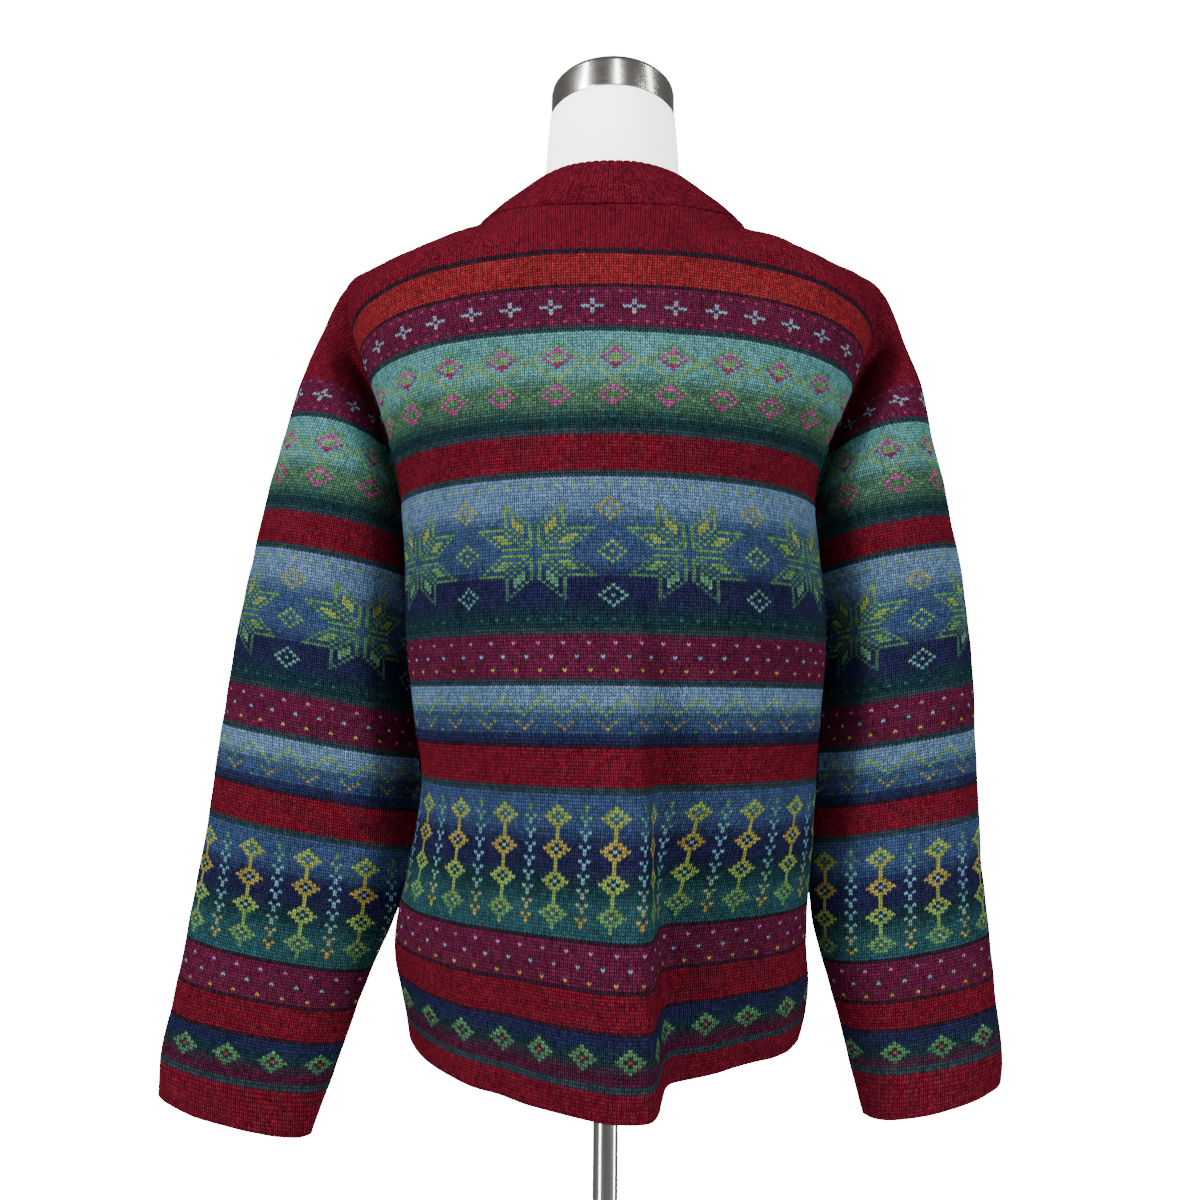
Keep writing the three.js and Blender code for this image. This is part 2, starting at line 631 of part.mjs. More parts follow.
function makeButtonBand(side) {
  const at = (u, v) => buttonBandPoint(side, u, v);
  return wall(at, 4, 26, { flip: side < 0 });
}

function makeButton() {
  const outline = new THREE.Shape().absarc(0, 0, BUTTON_R, 0, 2 * Math.PI);
  for (const side of [-1, 1]) {
    const hole = new THREE.Path().absarc(side * BUTTON_HOLE_X, 0, BUTTON_HOLE_R, 0, 2 * Math.PI, true);
    outline.holes.push(hole);
  }
  const geometry = new THREE.ExtrudeGeometry(outline, { depth: BUTTON_THICK, bevelEnabled: false, curveSegments: 9 });
  geometry.rotateX(Math.PI / 2);
  return geometry;
}

function torsoRings() {
  const wide = 28;
  return TORSO.map((row) => {
    const ring = [];
    for (let i = 0; i < wide; i += 1) {
      const turn = (i / wide) * 2 * Math.PI;
      const deep = Math.sin(turn) > 0 ? row.back : -row.front;
      ring.push(point(row.halfX * Math.cos(turn), deep * Math.sin(turn), row.z));
    }
    return ring;
  });
}

function lathe(profile, segments) {
  const points = profile.map(([r, z]) => new THREE.Vector2(r, z));
  const geometry = new THREE.LatheGeometry(points, segments);
  geometry.rotateX(Math.PI / 2);
  return geometry;
}

add('back', makeBack(), PATTERNED_WOOL, 0.95);
add('front_left', makeFront('front_left'), PATTERNED_WOOL, 0.95);
add('front_right', makeFront('front_right'), PATTERNED_WOOL, 0.95);
add('side_left', makeSide(1), RED_WOOL, 0.95);
add('side_right', makeSide(-1), RED_WOOL, 0.95);
add('sleeve_left', makeSleeve(1), PATTERNED_WOOL, 0.95);
add('sleeve_right', makeSleeve(-1), PATTERNED_WOOL, 0.95);

add('neckband', makeNeckband(), RED_WOOL, 0.95);
add('band_left', makeButtonBand(1), RED_WOOL, 0.95);
add('band_right', makeButtonBand(-1), RED_WOOL, 0.95);

for (let i = 0; i < BUTTON_COUNT; i += 1) {
  const button = add(`button_${i + 1}`, makeButton(), PLUM_BUTTON, 0.4);
  const share = lerp(BUTTON_TOP, BUTTON_LOW, i / (BUTTON_COUNT - 1));
  const p = buttonBandPoint(-1, 0.5, share);
  const above = buttonBandPoint(-1, 0.5, share + 0.01);
  const below = buttonBandPoint(-1, 0.5, share - 0.01);
  const lean = Math.atan2(above.y - below.y, above.z - below.z);
  const lift = BUTTON_LIFT;
  button.position.set(0, p.y - lift * Math.cos(lean), p.z + lift * Math.sin(lean));
  button.rotation.x = -lean;
}

add('torso', loft(torsoRings()), 0xece9e4, 0.9);
add('neck_cap', lathe(CAP_PROFILE, 36), 0xb9b2a8, 0.35, 1);
const poleTop = TORSO[0].z - SEAM;
const POLE_PROFILE = [[0, POLE_FOOT_Z], [POLE_R, POLE_FOOT_Z], [POLE_R, poleTop], [0, poleTop]];
add('pole', lathe(POLE_PROFILE, 24), 0xb9b2a8, 0.3, 1);
add('stand_base', lathe(BASE_PROFILE, 40), 0xb9b2a8, 0.35, 1);

export default group;
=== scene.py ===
import math

import bmesh
import bpy
import numpy as np
from mathutils import Matrix, Vector


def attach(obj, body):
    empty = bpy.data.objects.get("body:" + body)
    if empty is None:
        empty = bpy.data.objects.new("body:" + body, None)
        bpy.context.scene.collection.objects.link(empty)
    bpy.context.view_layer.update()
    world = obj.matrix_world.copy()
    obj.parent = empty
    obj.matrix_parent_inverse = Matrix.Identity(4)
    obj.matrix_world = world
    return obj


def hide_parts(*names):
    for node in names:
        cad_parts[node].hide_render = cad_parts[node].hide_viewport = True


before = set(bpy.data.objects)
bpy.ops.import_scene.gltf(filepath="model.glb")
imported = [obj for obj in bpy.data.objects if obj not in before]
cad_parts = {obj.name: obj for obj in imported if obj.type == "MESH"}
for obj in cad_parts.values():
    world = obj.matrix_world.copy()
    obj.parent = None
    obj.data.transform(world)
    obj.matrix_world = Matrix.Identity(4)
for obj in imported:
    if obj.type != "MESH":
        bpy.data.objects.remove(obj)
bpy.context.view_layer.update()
print("frame loaded")

# everything below is worked out in millimetres and divided by 1000 when it is placed
hemZ, underarmZ = 741.0, 1178.0
yokeZ = {"back": 1342.0, "front": 1300.0}
yokeShare = {"back": 0.87, "front": 0.84}
bandHalf = 18.0
clothWall = 2.0


# tables of the garment's shape
def makeTable(names, text):
    rows = np.array([[float(x) for x in line.split()] for line in text.strip().splitlines()])
    return {name: rows[:, i] for i, name in enumerate(names.split())}


bodyTable = makeTable("z left right backEdge frontEdge back front round", """
    741  147 143   4 -42 104 -128 1.6
    785  157 155   4 -43 104 -129 1.6
    828  164 154   5 -44 105 -130 1.65
    889  154 158   6 -45 108 -130 1.75
    944  146 162   6 -46 110 -131 1.85
    1008 155 168   6 -47 113 -133 1.9
    1063 162 173   7 -48 116 -136 1.9
    1110 164 170   8 -48 118 -139 1.9
    1178 170 165  12 -46 119 -141 1.9
    1216 179 175  15 -43 118 -138 1.9
    1250 190 191  17 -38 115 -131 1.9
    1285 204 205  17 -31 112 -121 1.85
    1318 217 218  13 -20 108 -110 1.8
    1338 221 223   7 -11 104 -103 1.8
    1360 223 227   0   0  98  -96 1.8
""")
droopTable = makeTable("z sink", """
    741 0
    960 0
    1104 1
    1180 2
    1240 6
    1290 19
    1340 36
""")
shoulderTable = makeTable("x z", """
    111 1409
    130 1400
    160 1390
    200 1375
    216 1367
    225 1360
""")
sleeveTables = {
    1: makeTable("outX outZ innX innZ midY deep", """
        252 1286 170 1152  -6 54
        270 1220 166 1112  -9 61
        287 1150 165 1075 -11 59
        300 1075 159 1028 -12 53
        310 1000 151  965 -12 46
        317  925 150  903 -10 39
        325  856 168  846  -7 33
        334  785 191  790  -4 29
        341  740 208  738  -2 26
        341  712 227  682   0 23
    """),
    -1: makeTable("outX outZ innX innZ midY deep", """
        252 1288 170 1152  -6 56
        266 1222 174 1112  -9 62
        281 1150 176 1072 -11 60
        291 1075 174 1028 -11 56
        294 1000 169  968 -10 50
        294  925 163  905  -8 44
        296  856 164  845  -5 39
        300  790 177  792  -2 35
        302  748 189  742   0 32
        301  728 199  700   0 30
    """),
}
neckSeam = dict(side=111, sideZ=1409, back=84, backZ=1387, front=-101, frontZ=1346)
neckTop = dict(side=72, sideZ=1436, back=75, backZ=1428, front=-86, frontZ=1384)
hemRise = {1: (19, 4), -1: (20, 1.6)}      # rise and power, wearer's left and right

# folds that hang down the body: a step moves one side of x out and the other in
bodyFolds = [
    dict(kind="step", face="back", topX=-22, lowX=-34, topZ=1130, lowZ=800, depth=27, wide=4.5, reach=72),
    dict(kind="trough", face="back", topX=103, lowX=106, topZ=1128, lowZ=1080, depth=4.5, wide=5, tail=90),
    dict(kind="trough", face="back", topX=62, lowX=72, topZ=930, lowZ=744, depth=4, wide=16),
    dict(kind="trough", face="back", topX=-92, lowX=-98, topZ=960, lowZ=744, depth=5, wide=15),
    dict(kind="trough", face="front", topX=66, lowX=76, topZ=1080, lowZ=744, depth=8, wide=15),
    dict(kind="trough", face="front", topX=-58, lowX=-72, topZ=1060, lowZ=744, depth=9, wide=16),
    dict(kind="trough", face="front", topX=118, lowX=120, topZ=1190, lowZ=900, depth=5, wide=13),
    dict(kind="trough", face="front", topX=-116, lowX=-112, topZ=1200, lowZ=860, depth=5, wide=13),
]
# the cloth sinks beside the armhole seams: depth at the back and front, reach from the seam, and its top
armholeHollow = {1: dict(back=44, front=6, wide=14, top=1302), -1: dict(back=52, front=6, wide=17, top=1320)}
# bends across the sleeves: turn in degrees (0 outside, 90 back), along from armhole to cuff, slant along
# for each degree of turn
sleeveCreases = [
    dict(side=1, turn=150, along=0.545, depth=9, wideTurn=26, wideAlong=0.017, slant=-0.0006),
    dict(side=1, turn=156, along=0.450, depth=28, wideTurn=17, wideAlong=0.150, slant=0),
    dict(side=1, turn=128, along=0.600, depth=4, wideTurn=30, wideAlong=0.020, slant=-0.0008),
    dict(side=1, turn=118, along=0.690, depth=4, wideTurn=34, wideAlong=0.030, slant=0.0004),
    dict(side=1, turn=150, along=0.300, depth=5, wideTurn=30, wideAlong=0.050, slant=0.0010),
    dict(side=1, turn=262, along=0.520, depth=6, wideTurn=34, wideAlong=0.035, slant=0),
    dict(side=-1, turn=150, along=0.520, depth=6, wideTurn=26, wideAlong=0.020, slant=-0.0006),
    dict(side=-1, turn=156, along=0.360, depth=32, wideTurn=19, wideAlong=0.180, slant=0),
    dict(side=-1, turn=120, along=0.610, depth=4, wideTurn=30, wideAlong=0.030, slant=0.0006),
    dict(side=-1, turn=140, along=0.280, depth=5, wideTurn=28, wideAlong=0.060, slant=0.0008),
    dict(side=-1, turn=256, along=0.480, depth=6, wideTurn=32, wideAlong=0.035, slant=0),
]


# helpers
def smooth(t):
    t = np.clip(t, 0, 1)
    return t * t * (3 - 2 * t)


def hermite(p0, p1, m0, m1, t):
    t2, t3 = t * t, t * t * t
    return (2 * t3 - 3 * t2 + 1) * p0 + (t3 - 2 * t2 + t) * m0 + (3 * t2 - 2 * t3) * p1 + (t3 - t2) * m1


def readTable(table, key, name, column="z"):
    # smooth values of one column at the heights in key
    z, w = table[column], table[name]
    i = np.clip(np.searchsorted(z, key) - 1, 0, len(z) - 2)
    a, d = np.maximum(i - 1, 0), np.minimum(i + 2, len(z) - 1)
    t = np.clip((key - z[i]) / (z[i + 1] - z[i]), 0, 1)
    step = z[i + 1] - z[i]
    m0 = (w[i + 1] - w[a]) / (z[i + 1] - z[a]) * step
    m1 = (w[d] - w[i]) / (z[d] - z[i]) * step
    return hermite(w[i], w[i + 1], m0, m1, t)


def runLength(points):
    return np.concatenate([[0], np.cumsum(np.linalg.norm(np.diff(points, axis=0), axis=1))])


def readRun(points, share):
    # points of a polyline at shares of its length
    s = runLength(points)
    return np.stack([np.interp(np.asarray(share) * s[-1], s, points[:, k]) for k in range(3)], axis=-1)


def unit(v):
    return v / np.maximum(np.linalg.norm(v, axis=-1, keepdims=True), 1e-9)


# the body's surface
def foldOffset(face, x, z):
    total = np.zeros(np.broadcast(x, z).shape)
    for fold in bodyFolds:
        if fold["face"] != face:
            continue
        run = (fold["topZ"] - z) / (fold["topZ"] - fold["lowZ"])
        away = x - (fold["topX"] + (fold["lowX"] - fold["topX"]) * np.clip(run, 0, 1.2))
        if fold["kind"] == "step":
            step = np.tanh(away / fold["wide"]) * np.exp(-(away / fold["reach"]) ** 2)
            total += fold["depth"] * smooth(run) * step
        else:
            fade = 1 - smooth((fold["lowZ"] - z) / fold["tail"]) if "tail" in fold else 1
            total -= fold["depth"] * smooth(run) * fade * np.exp(-(away / fold["wide"]) ** 2)
    return total


def halfRow(face, side, z, steps=160):
    reach = readTable(bodyTable, z, "left" if side > 0 else "right")[:, None]
    edge = readTable(bodyTable, z, face + "Edge")[:, None]
    middle = readTable(bodyTable, z, face)[:, None]
    power = 2 / readTable(bodyTable, z, "round")[:, None]
    turn = np.linspace(0, math.pi / 2, steps + 1)[None, :]
    x = side * reach * np.sin(turn) ** power
    y = edge + (middle - edge) * np.maximum(np.cos(turn), 0) ** power
    nearEdge = 1 - smooth((np.abs(x) / reach - 0.75) / 0.2)
    zz = np.broadcast_to(z[:, None], x.shape)
    y = y + np.sign(middle) * foldOffset(face, x, zz) * nearEdge
    return np.stack([x, y, zz], axis=-1)


def makeRowTable(piece):
    # every 2 mm of height, a row read at even shares of its length
    heights = np.arange(hemZ - 6, 1347, 2.0)
    shares = np.linspace(0, 1, 501)
    if piece == "back":
        right, left = halfRow("back", -1, heights), halfRow("back", 1, heights)
        rows = np.concatenate([right[:, ::-1], left[:, 1:]], axis=1)
    else:
        rows = halfRow("front", 1 if piece == "frontLeft" else -1, heights)
    out = np.empty((len(heights), len(shares), 3))
    for k, row in enumerate(rows):
        if piece != "back":
            x = np.abs(row[:, 0])
            first = np.array([np.interp(bandHalf, x, row[:, i]) for i in range(3)])
            row = np.vstack([first, row[x > bandHalf]])
        out[k] = readRun(row, shares)
    return heights, out


rowTables = {piece: makeRowTable(piece) for piece in ("back", "frontLeft", "frontRight")}


def bodyRow(piece, z, u):
    heights, rows = rowTables[piece]
    a = np.clip((z - heights[0]) / 2.0, 0, len(heights) - 1.001)
    b = np.clip(u, 0, 1) * (rows.shape[1] - 1) * 0.999999
    i, j = a.astype(int), b.astype(int)
    s, t = (a - i)[..., None], (b - j)[..., None]
    low = rows[i, j] * (1 - t) + rows[i, j + 1] * t
    high = rows[i + 1, j] * (1 - t) + rows[i + 1, j + 1] * t
    p = low * (1 - s) + high * s
    p[..., 2] = z
    return p


def neckPoint(oval, face, side, turn):
    # turn is 0 at the side of the neck and 90 degrees at its middle
    c, s = np.cos(turn), np.abs(np.sin(turn))
    low = oval["backZ"] if face == "back" else oval["frontZ"]
    rise = oval["sideZ"] + (low - oval["sideZ"]) * s ** (1.4 if face == "back" else 1.5)
    return np.stack([side * oval["side"] * c, oval[face] * s, rise], axis=-1)


def topEdge(piece):
    face = "back" if piece == "back" else "front"

    def half(side):
        reach = bodyTable["left" if side > 0 else "right"][-1]
        last = math.pi / 2 if face == "back" else math.acos(bandHalf / neckSeam["side"])
        neck = neckPoint(neckSeam, face, side, np.linspace(last, 0, 60)[:-1])
        start = neckSeam["side"]
        x = side * (start + (shoulderTable["x"] - start) * (reach - start) / (225 - start))
        seam = np.stack([x, 0 * x, shoulderTable["z"]], axis=-1)
        dense = readRun(seam, np.linspace(0, 1, 40))
        return np.vstack([neck, dense])

    if piece == "back":
        return np.vstack([half(-1)[::-1], half(1)[1:]])
    return half(1 if piece == "frontLeft" else -1)


topEdges = {piece: topEdge(piece) for piece in rowTables}


def rowPoint(piece, z, u):
    across = np.abs(2 * u - 1) if piece == "back" else u
    sink = readTable(droopTable, z, "sink") * across ** 3.3
    return bodyRow(piece, z - sink, u)


def bodyPoint(piece, u, v):
    face = "back" if piece == "back" else "front"
    share, top = yokeShare[face], yokeZ[face]
    away = 2 * u - 1 if piece == "back" else (u if piece == "frontLeft" else -u)
    rise = np.where(away > 0, hemRise[1][0] * np.abs(away) ** hemRise[1][1],
                    hemRise[-1][0] * np.abs(away) ** hemRise[-1][1])
    w = np.clip(v / share, 0, 1)
    lower = rowPoint(piece, hemZ + (top - hemZ) * w + rise * (1 - w) ** 4, u)
    t = np.clip((v - share) / (1 - share), 0, 1)[..., None]
    full = np.full_like(u, top)
    low, below = rowPoint(piece, full, u), rowPoint(piece, full - 12, u)
    high = readRun(topEdges[piece], u)
    length = np.linalg.norm(high - low, axis=-1, keepdims=True)
    if face == "front":
        # the yoke's lower rows keep nearly the same height all along, and the plain ones take up the rest
        turnAt, even = 0.35, 0.55 * np.minimum(42 / length, 0.9) + 0.45 * 0.35
        t = np.where(t < turnAt, t / turnAt * even, 1 - (1 - t) / (1 - turnAt) * (1 - even))
    across = np.abs(2 * u - 1) if piece == "back" else u
    flat = smooth((across - 0.35) / 0.25)
    inward = -1 if piece == "back" else 1
    arrive = np.stack([0 * u, inward * (0.25 + 0.65 * flat), 0.95 - 0.7 * flat], axis=-1)
    upper = hermite(low, high, unit(low - below) * length, unit(arrive) * length, t)
    return np.where((v <= share)[..., None], lower, upper)


def sidePoint(side, u, v):
    z = hemZ + hemRise[side][0] + (underarmZ - hemZ - hemRise[side][0]) * v
    reach = readTable(bodyTable, z, "left" if side > 0 else "right")
    back, front = readTable(bodyTable, z, "backEdge"), readTable(bodyTable, z, "frontEdge")
    hollow = 5 * (1 - (2 * u - 1) ** 2)
    return np.stack([side * (reach - hollow), back + (front - back) * u, z], axis=-1)


# the sleeves' surface
def armholePath(side):
    # down the back's edge, under the arm and up the front's
    name = "left" if side > 0 else "right"
    edges = {}
    for piece, face in (("back", "back"), ("front" + name.capitalize(), "front")):
        u = np.full(50, 0.0 if piece == "back" and side < 0 else 1.0)
        yoke = bodyPoint(piece, u, np.linspace(1, yokeShare[face], 50))
        yoke[:, 0] = np.abs(yoke[:, 0])
        z = np.linspace(yoke[-1, 2], underarmZ, 60)[1:]
        below = np.stack([readTable(bodyTable, z, name), readTable(bodyTable, z, face + "Edge"), z], axis=-1)
        edges[face] = np.vstack([yoke, below])
    u = np.linspace(0, 1, 24)[1:-1]
    under = sidePoint(side, u, np.ones_like(u))
    under[:, 0] = np.abs(under[:, 0])
    return np.vstack([edges["back"], under, edges["front"][::-1]])


# head is how the cloth leaves the armhole, ease how slowly its hollow starts and ends
sleeveShape = dict(round=2.15, head=(24, 0, -3), easeTop=48, easeLow=70, lowEnd=1110, spread=1.4)


def sleeveSurface(side, turns, along):
    # a grid of points, along rows by turns columns
    shape, table = sleeveShape, sleeveTables[side]
    ring = np.stack([table[name] for name in ("outX", "outZ", "innX", "innZ", "midY", "deep")], axis=-1)
    angle = turns * 2 * math.pi
    fat = 2 / shape["round"]
    c = (1 + np.sign(np.cos(angle)) * np.abs(np.cos(angle)) ** fat) / 2
    s = np.sign(np.sin(angle)) * np.abs(np.sin(angle)) ** fat
    rings = np.empty((11, len(turns), 3))
    rings[0] = readRun(armholePath(side), turns)
    for i in range(10):
        outX, outZ, innX, innZ, midY, deep = ring[i]
        x, z = innX + (outX - innX) * c, innZ + (outZ - innZ) * c
        rings[i + 1] = np.stack([x, midY + deep * s, z], axis=-1)
    place = along * 10
    i = np.minimum(place.astype(int), 9)
    start = rings[0] - np.array(shape["head"])
    before = np.where((i > 0)[:, None, None], rings[np.maximum(i - 1, 0)], start[None])
    after = rings[np.minimum(i + 2, 10)]
    m0, m1 = (rings[i + 1] - before) * 0.5, (after - rings[i]) * 0.5
    p = hermite(rings[i], rings[i + 1], m0, m1, (place - i)[:, None, None])
    for crease in sleeveCreases:
        if crease["side"] != side:
            continue
        a = (turns * 360 - crease["turn"]) / crease["wideTurn"]
        bent = along[:, None] - crease["along"] - crease["slant"] * (turns * 360 - crease["turn"])[None, :]
        mid = ring[np.minimum(i, 9), 4][:, None]
        dent = crease["depth"] * np.exp(-a[None, :] ** 2 - (bent / crease["wideAlong"]) ** 2)
        p[..., 1] -= np.sign(p[..., 1] - mid) * dent
    # a hollow beside the armhole seam, deeper at the back
    sunk = armholeHollow[side]
    away = np.linalg.norm(p - rings[0][None], axis=-1) / sunk["wide"]
    here = smooth((sunk["top"] - p[..., 2]) / shape["easeTop"])
    here = here * smooth((p[..., 2] - shape["lowEnd"]) / shape["easeLow"])
    facing = np.where(s > 0, -sunk["back"], sunk["front"]) * np.minimum(np.abs(s) * 2, 1)
    p[..., 1] += facing[None] * here * (1 - np.exp(-(2 * away) ** 2)) * np.exp(-(away / shape["spread"]) ** 2)
    p[..., 0] *= side
    return p


# yarns and charts
def linear(rgb):
    c = np.array(rgb) / 255.0
    return np.where(c <= 0.04045, c / 12.92, ((c + 0.055) / 1.055) ** 2.4)


yarns = dict(
    red=(68, 14, 24), orange=(83, 22, 26), plum=(58, 17, 35), line=(28, 17, 25),
    navy=(21, 22, 44), blue=(35, 48, 72), light=(62, 81, 102), sky=(63, 97, 113),
    teal=(25, 49, 53), deep=(16, 32, 36), aqua=(57, 93, 93), green=(41, 63, 50),
    leaf=(54, 83, 52), lime=(80, 99, 49), ochre=(97, 87, 43), pink=(112, 46, 89),
    rose=(85, 29, 54), wine=(46, 16, 31), rust=(93, 41, 32),
)
yarnColour = {name: linear(rgb) for name, rgb in yarns.items()}

# small motifs, given as charts: . is the ground, x and o the first and second motif yarn
cross = """
..x..
..x..
xx.xx
..x..
..x..
"""
flecks = """
x.....
......
......
......
...x..
......
......
......
"""
sprig = """
......x......
.....x.x.....
....x.o.x....
...x.ooo.x...
..x.o.x.o.x..
.x.o.xxx.o.x.
x...o.x.o...x
.x...ooo...x.
..x...o...x..
...x.....x...
....x...x....
.....x.x.....
"""
zigzag = """
x.........
.x.......x
..x.....x.
...x...x..
o...x.x...
.o...x...o
..o.....o.
...o...o..
....o.o...
.....o....
"""
lozenge = """
....x....
...xxx...
..xx.xx..
.xx.o.xx.
..xx.xx..
...xxx...
....x....
"""


def readChart(text):
    return [line for line in text.split() if line]


def chartAt(chart, stitch, row):
    line = chart[row % len(chart)]
    return line[stitch % len(line)]


def starAt(x, y, size):
    # an eight-pointed star: eight slanted petals, each an outline round a vein
    a, b = max(abs(x), abs(y)), min(abs(x), abs(y))
    if not (1 <= b <= size and 1 <= a - b <= size):
        return "."
    if b in (1, size) or a - b in (1, size):
        return "x"
    return "o" if 3 <= b <= size - 2 and 3 <= a - b <= size - 2 else "."


# bands from the yoke down: rows, the ground's yarns, and a motif's kind and its two yarns
bands = [
    dict(rows=2, ground="line"),
    dict(rows=11, ground="orange"),
    dict(rows=1, ground="line"),
    dict(rows=13, ground="plum", motif="crosses", first="pink sky ochre", second="rose"),
    dict(rows=2, ground="line teal"),
    dict(rows=31, ground="aqua aqua aqua green green deep", motif="lattice", first="leaf lime leaf teal",
         second="pink rose pink rose"),
    dict(rows=2, ground="teal line"),
    dict(rows=11, ground="red"),
    dict(rows=2, ground="line teal"),
    dict(rows=45, ground="light light blue blue blue navy navy deep", motif="stars",
         first="lime leaf leaf green teal", second="ochre lime leaf aqua"),
    dict(rows=2, ground="teal line"),
    dict(rows=13, ground="plum", motif="flecks", first="pink sky ochre", second="sky"),
    dict(rows=2, ground="line teal"),
    dict(rows=17, ground="light light blue blue navy", motif="zigzag", first="lime leaf green",
         second="sky teal ochre"),
    dict(rows=1, ground="line"),
    dict(rows=11, ground="red"),
    dict(rows=2, ground="line teal"),
    dict(rows=40, ground="blue blue navy navy deep teal teal", motif="columns", first="lime ochre lime leaf",
         second="leaf sky aqua ochre"),
    dict(rows=1, ground="line"),
    dict(rows=12, ground="plum", motif="flecks", first="pink sky ochre", second="sky"),
    dict(rows=1, ground="line"),
    dict(rows=10, ground="red"),
    dict(rows=1, ground="line"),
    dict(rows=13, ground="navy deep wine", motif="lozenges", first="leaf green", second="rust"),
    dict(rows=2, ground="teal line"),
]
bandRows = sum(band["rows"] for band in bands)
sleeveSkip = sum(band["rows"] for band in bands[:3])       # the sleeves start below the first stripe
charts = {name: readChart(text) for name, text in
          dict(crosses=cross, flecks=flecks, lattice=sprig, zigzag=zigzag, lozenges=lozenge).items()}


def mixStops(names, place):
    # a colour between the yarns of a list, place 0 to 1 down the list
    names = names.split()
    spot = min(max(place * len(names) - 0.5, 0), len(names) - 1)
    i = min(int(spot), len(names) - 2) if len(names) > 1 else 0
    if len(names) == 1:
        return yarnColour[names[0]]
    return yarnColour[names[i]] * (1 - (spot - i)) + yarnColour[names[i + 1]] * (spot - i)


def motifAt(band, stitch, row):
    kind, rows = band["motif"], band["rows"]
    line = row - 3
    if kind == "crosses":
        if 0 <= row - 4 < 5 and 2 <= stitch % 9 < 7:
            return charts["crosses"][row - 4][stitch % 9 - 2]
        return "o" if row in (1, rows - 2) and stitch % 3 == 1 else "."
    if kind == "flecks":
        return chartAt(charts["flecks"], stitch, row - 2) if 1 < row < rows - 1 else "."
    if kind == "stars":
        if row in (2, rows - 3):
            return "x" if stitch % 4 == 0 else "."
        x, y = stitch % 36 - 18, row - rows // 2
        mark = starAt(x, y, 7)
        if mark == ".":
            far = abs((stitch + 18) % 36 - 18)             # small diamonds between the stars
            away = min(far + abs(y - step) for step in (-13, 0, 13))
            return "o" if away in (0, 3) else "."
        return mark
    if kind == "columns":
        if not 0 <= line < rows - 5:
            return "."
        x = stitch % 14
        if x < 9:
            return charts["lozenges"][line % 9][x] if line % 9 < 7 else ("x" if x == 4 else ".")
        return "o" if (x == 11 and line % 4 < 2) or (x in (10, 12) and line % 4 == 3) else "."
    if kind == "lozenges":
        return chartAt(charts["lozenges"], stitch % 11, line) if 0 <= line < 7 and stitch % 11 < 9 else "."
    return chartAt(charts[kind], stitch, line) if 0 <= line < rows - 6 else "."


def makeChart(stitches, offset=0):
    # a colour for every stitch, rows down by stitches across
    worked = np.zeros((bandRows, stitches, 3))
    top = 0
    for band in bands:
        for row in range(band["rows"]):
            place = (row // 2 * 2 + 1) / band["rows"]          # the shades change every second row
            worked[top + row] = mixStops(band["ground"], place)
            if "motif" in band:
                first, second = mixStops(band["first"], place), mixStops(band["second"], place)
                for stitch in range(stitches):
                    mark = motifAt(band, stitch + offset, row)
                    if mark != ".":
                        worked[top + row, stitch] = first if mark == "x" else second
        top += band["rows"]
    return worked


print("charts ready:", bandRows, "rows")

# knitted pieces
yokeRows = 34                     # rows between the patterned rows and the neck or shoulder
bodyRows = yokeRows + 256
bodyStitches = {"back": 144, "frontLeft": 66, "frontRight": 66}
# plain stitches at the back's right seam widen towards the hem: how many, from which row, over how many
plainEdge = dict(stitches=5.5, start=205, over=50)


def bodyRowShare(piece, row):
    # row 0 is at the neck and shoulder, the last row at the hem
    face = "back" if piece == "back" else "front"
    upper = yokeRows if piece == "back" else yokeRows + 18
    lower = bodyRows - upper
    share = yokeShare[face]
    return np.where(row < upper, 1 - (1 - share) * row / upper, share * (1 - (row - upper) / lower))


def bodyKnit(piece):
    columns = bodyStitches[piece] * 2

    def surface(i, j):
        u = i / columns
        if piece == "frontRight":
            u = 1 - u
        return bodyPoint(piece, u, bodyRowShare(piece, np.clip(j, 0, bodyRows)))

    def colours():
        offset = {"back": 0, "frontLeft": 144, "frontRight": -66}[piece]
        out = np.zeros((bodyRows, bodyStitches[piece], 3)) + yarnColour["red"]
        out[yokeRows:yokeRows + bandRows] = makeChart(bodyStitches[piece], offset)
        for row in range(bodyRows if piece == "back" else 0):
            plain = int(plainEdge["stitches"] * smooth((row - plainEdge["start"]) / plainEdge["over"]))
            out[row, :plain] = yarnColour["red"]
        return out

    return columns, bodyRows, surface, colours()


def ripple(p, size):
    # slow unevenness of hand-knitted cloth
    x, y, z = p[..., 0], p[..., 1], p[..., 2]
    return size * (np.sin(x / 17 + z / 41 + 1.3) * np.sin(z / 23 - y / 31)
                   + 0.6 * np.sin(x / 7.3 - z / 29) * np.sin(z / 11 + y / 13 + 2.1)
                   + 0.35 * np.sin(x / 3.9 + y / 5 + 0.7) * np.sin(z / 5.3 + 0.4))


def gridNormals(p):
    n = np.cross(np.gradient(p, axis=1), np.gradient(p, axis=0))
    return unit(n)


outsideBox, insideBox = (0.01, 0.30, 0.99, 0.99), (0.01, 0.01, 0.60, 0.25)      # places in the bake map
# the cloth's inside and its cut edges take the outside's colours darkened: painted shade
insidePaintedShade, rimPaintedShade = 0.8, 0.9


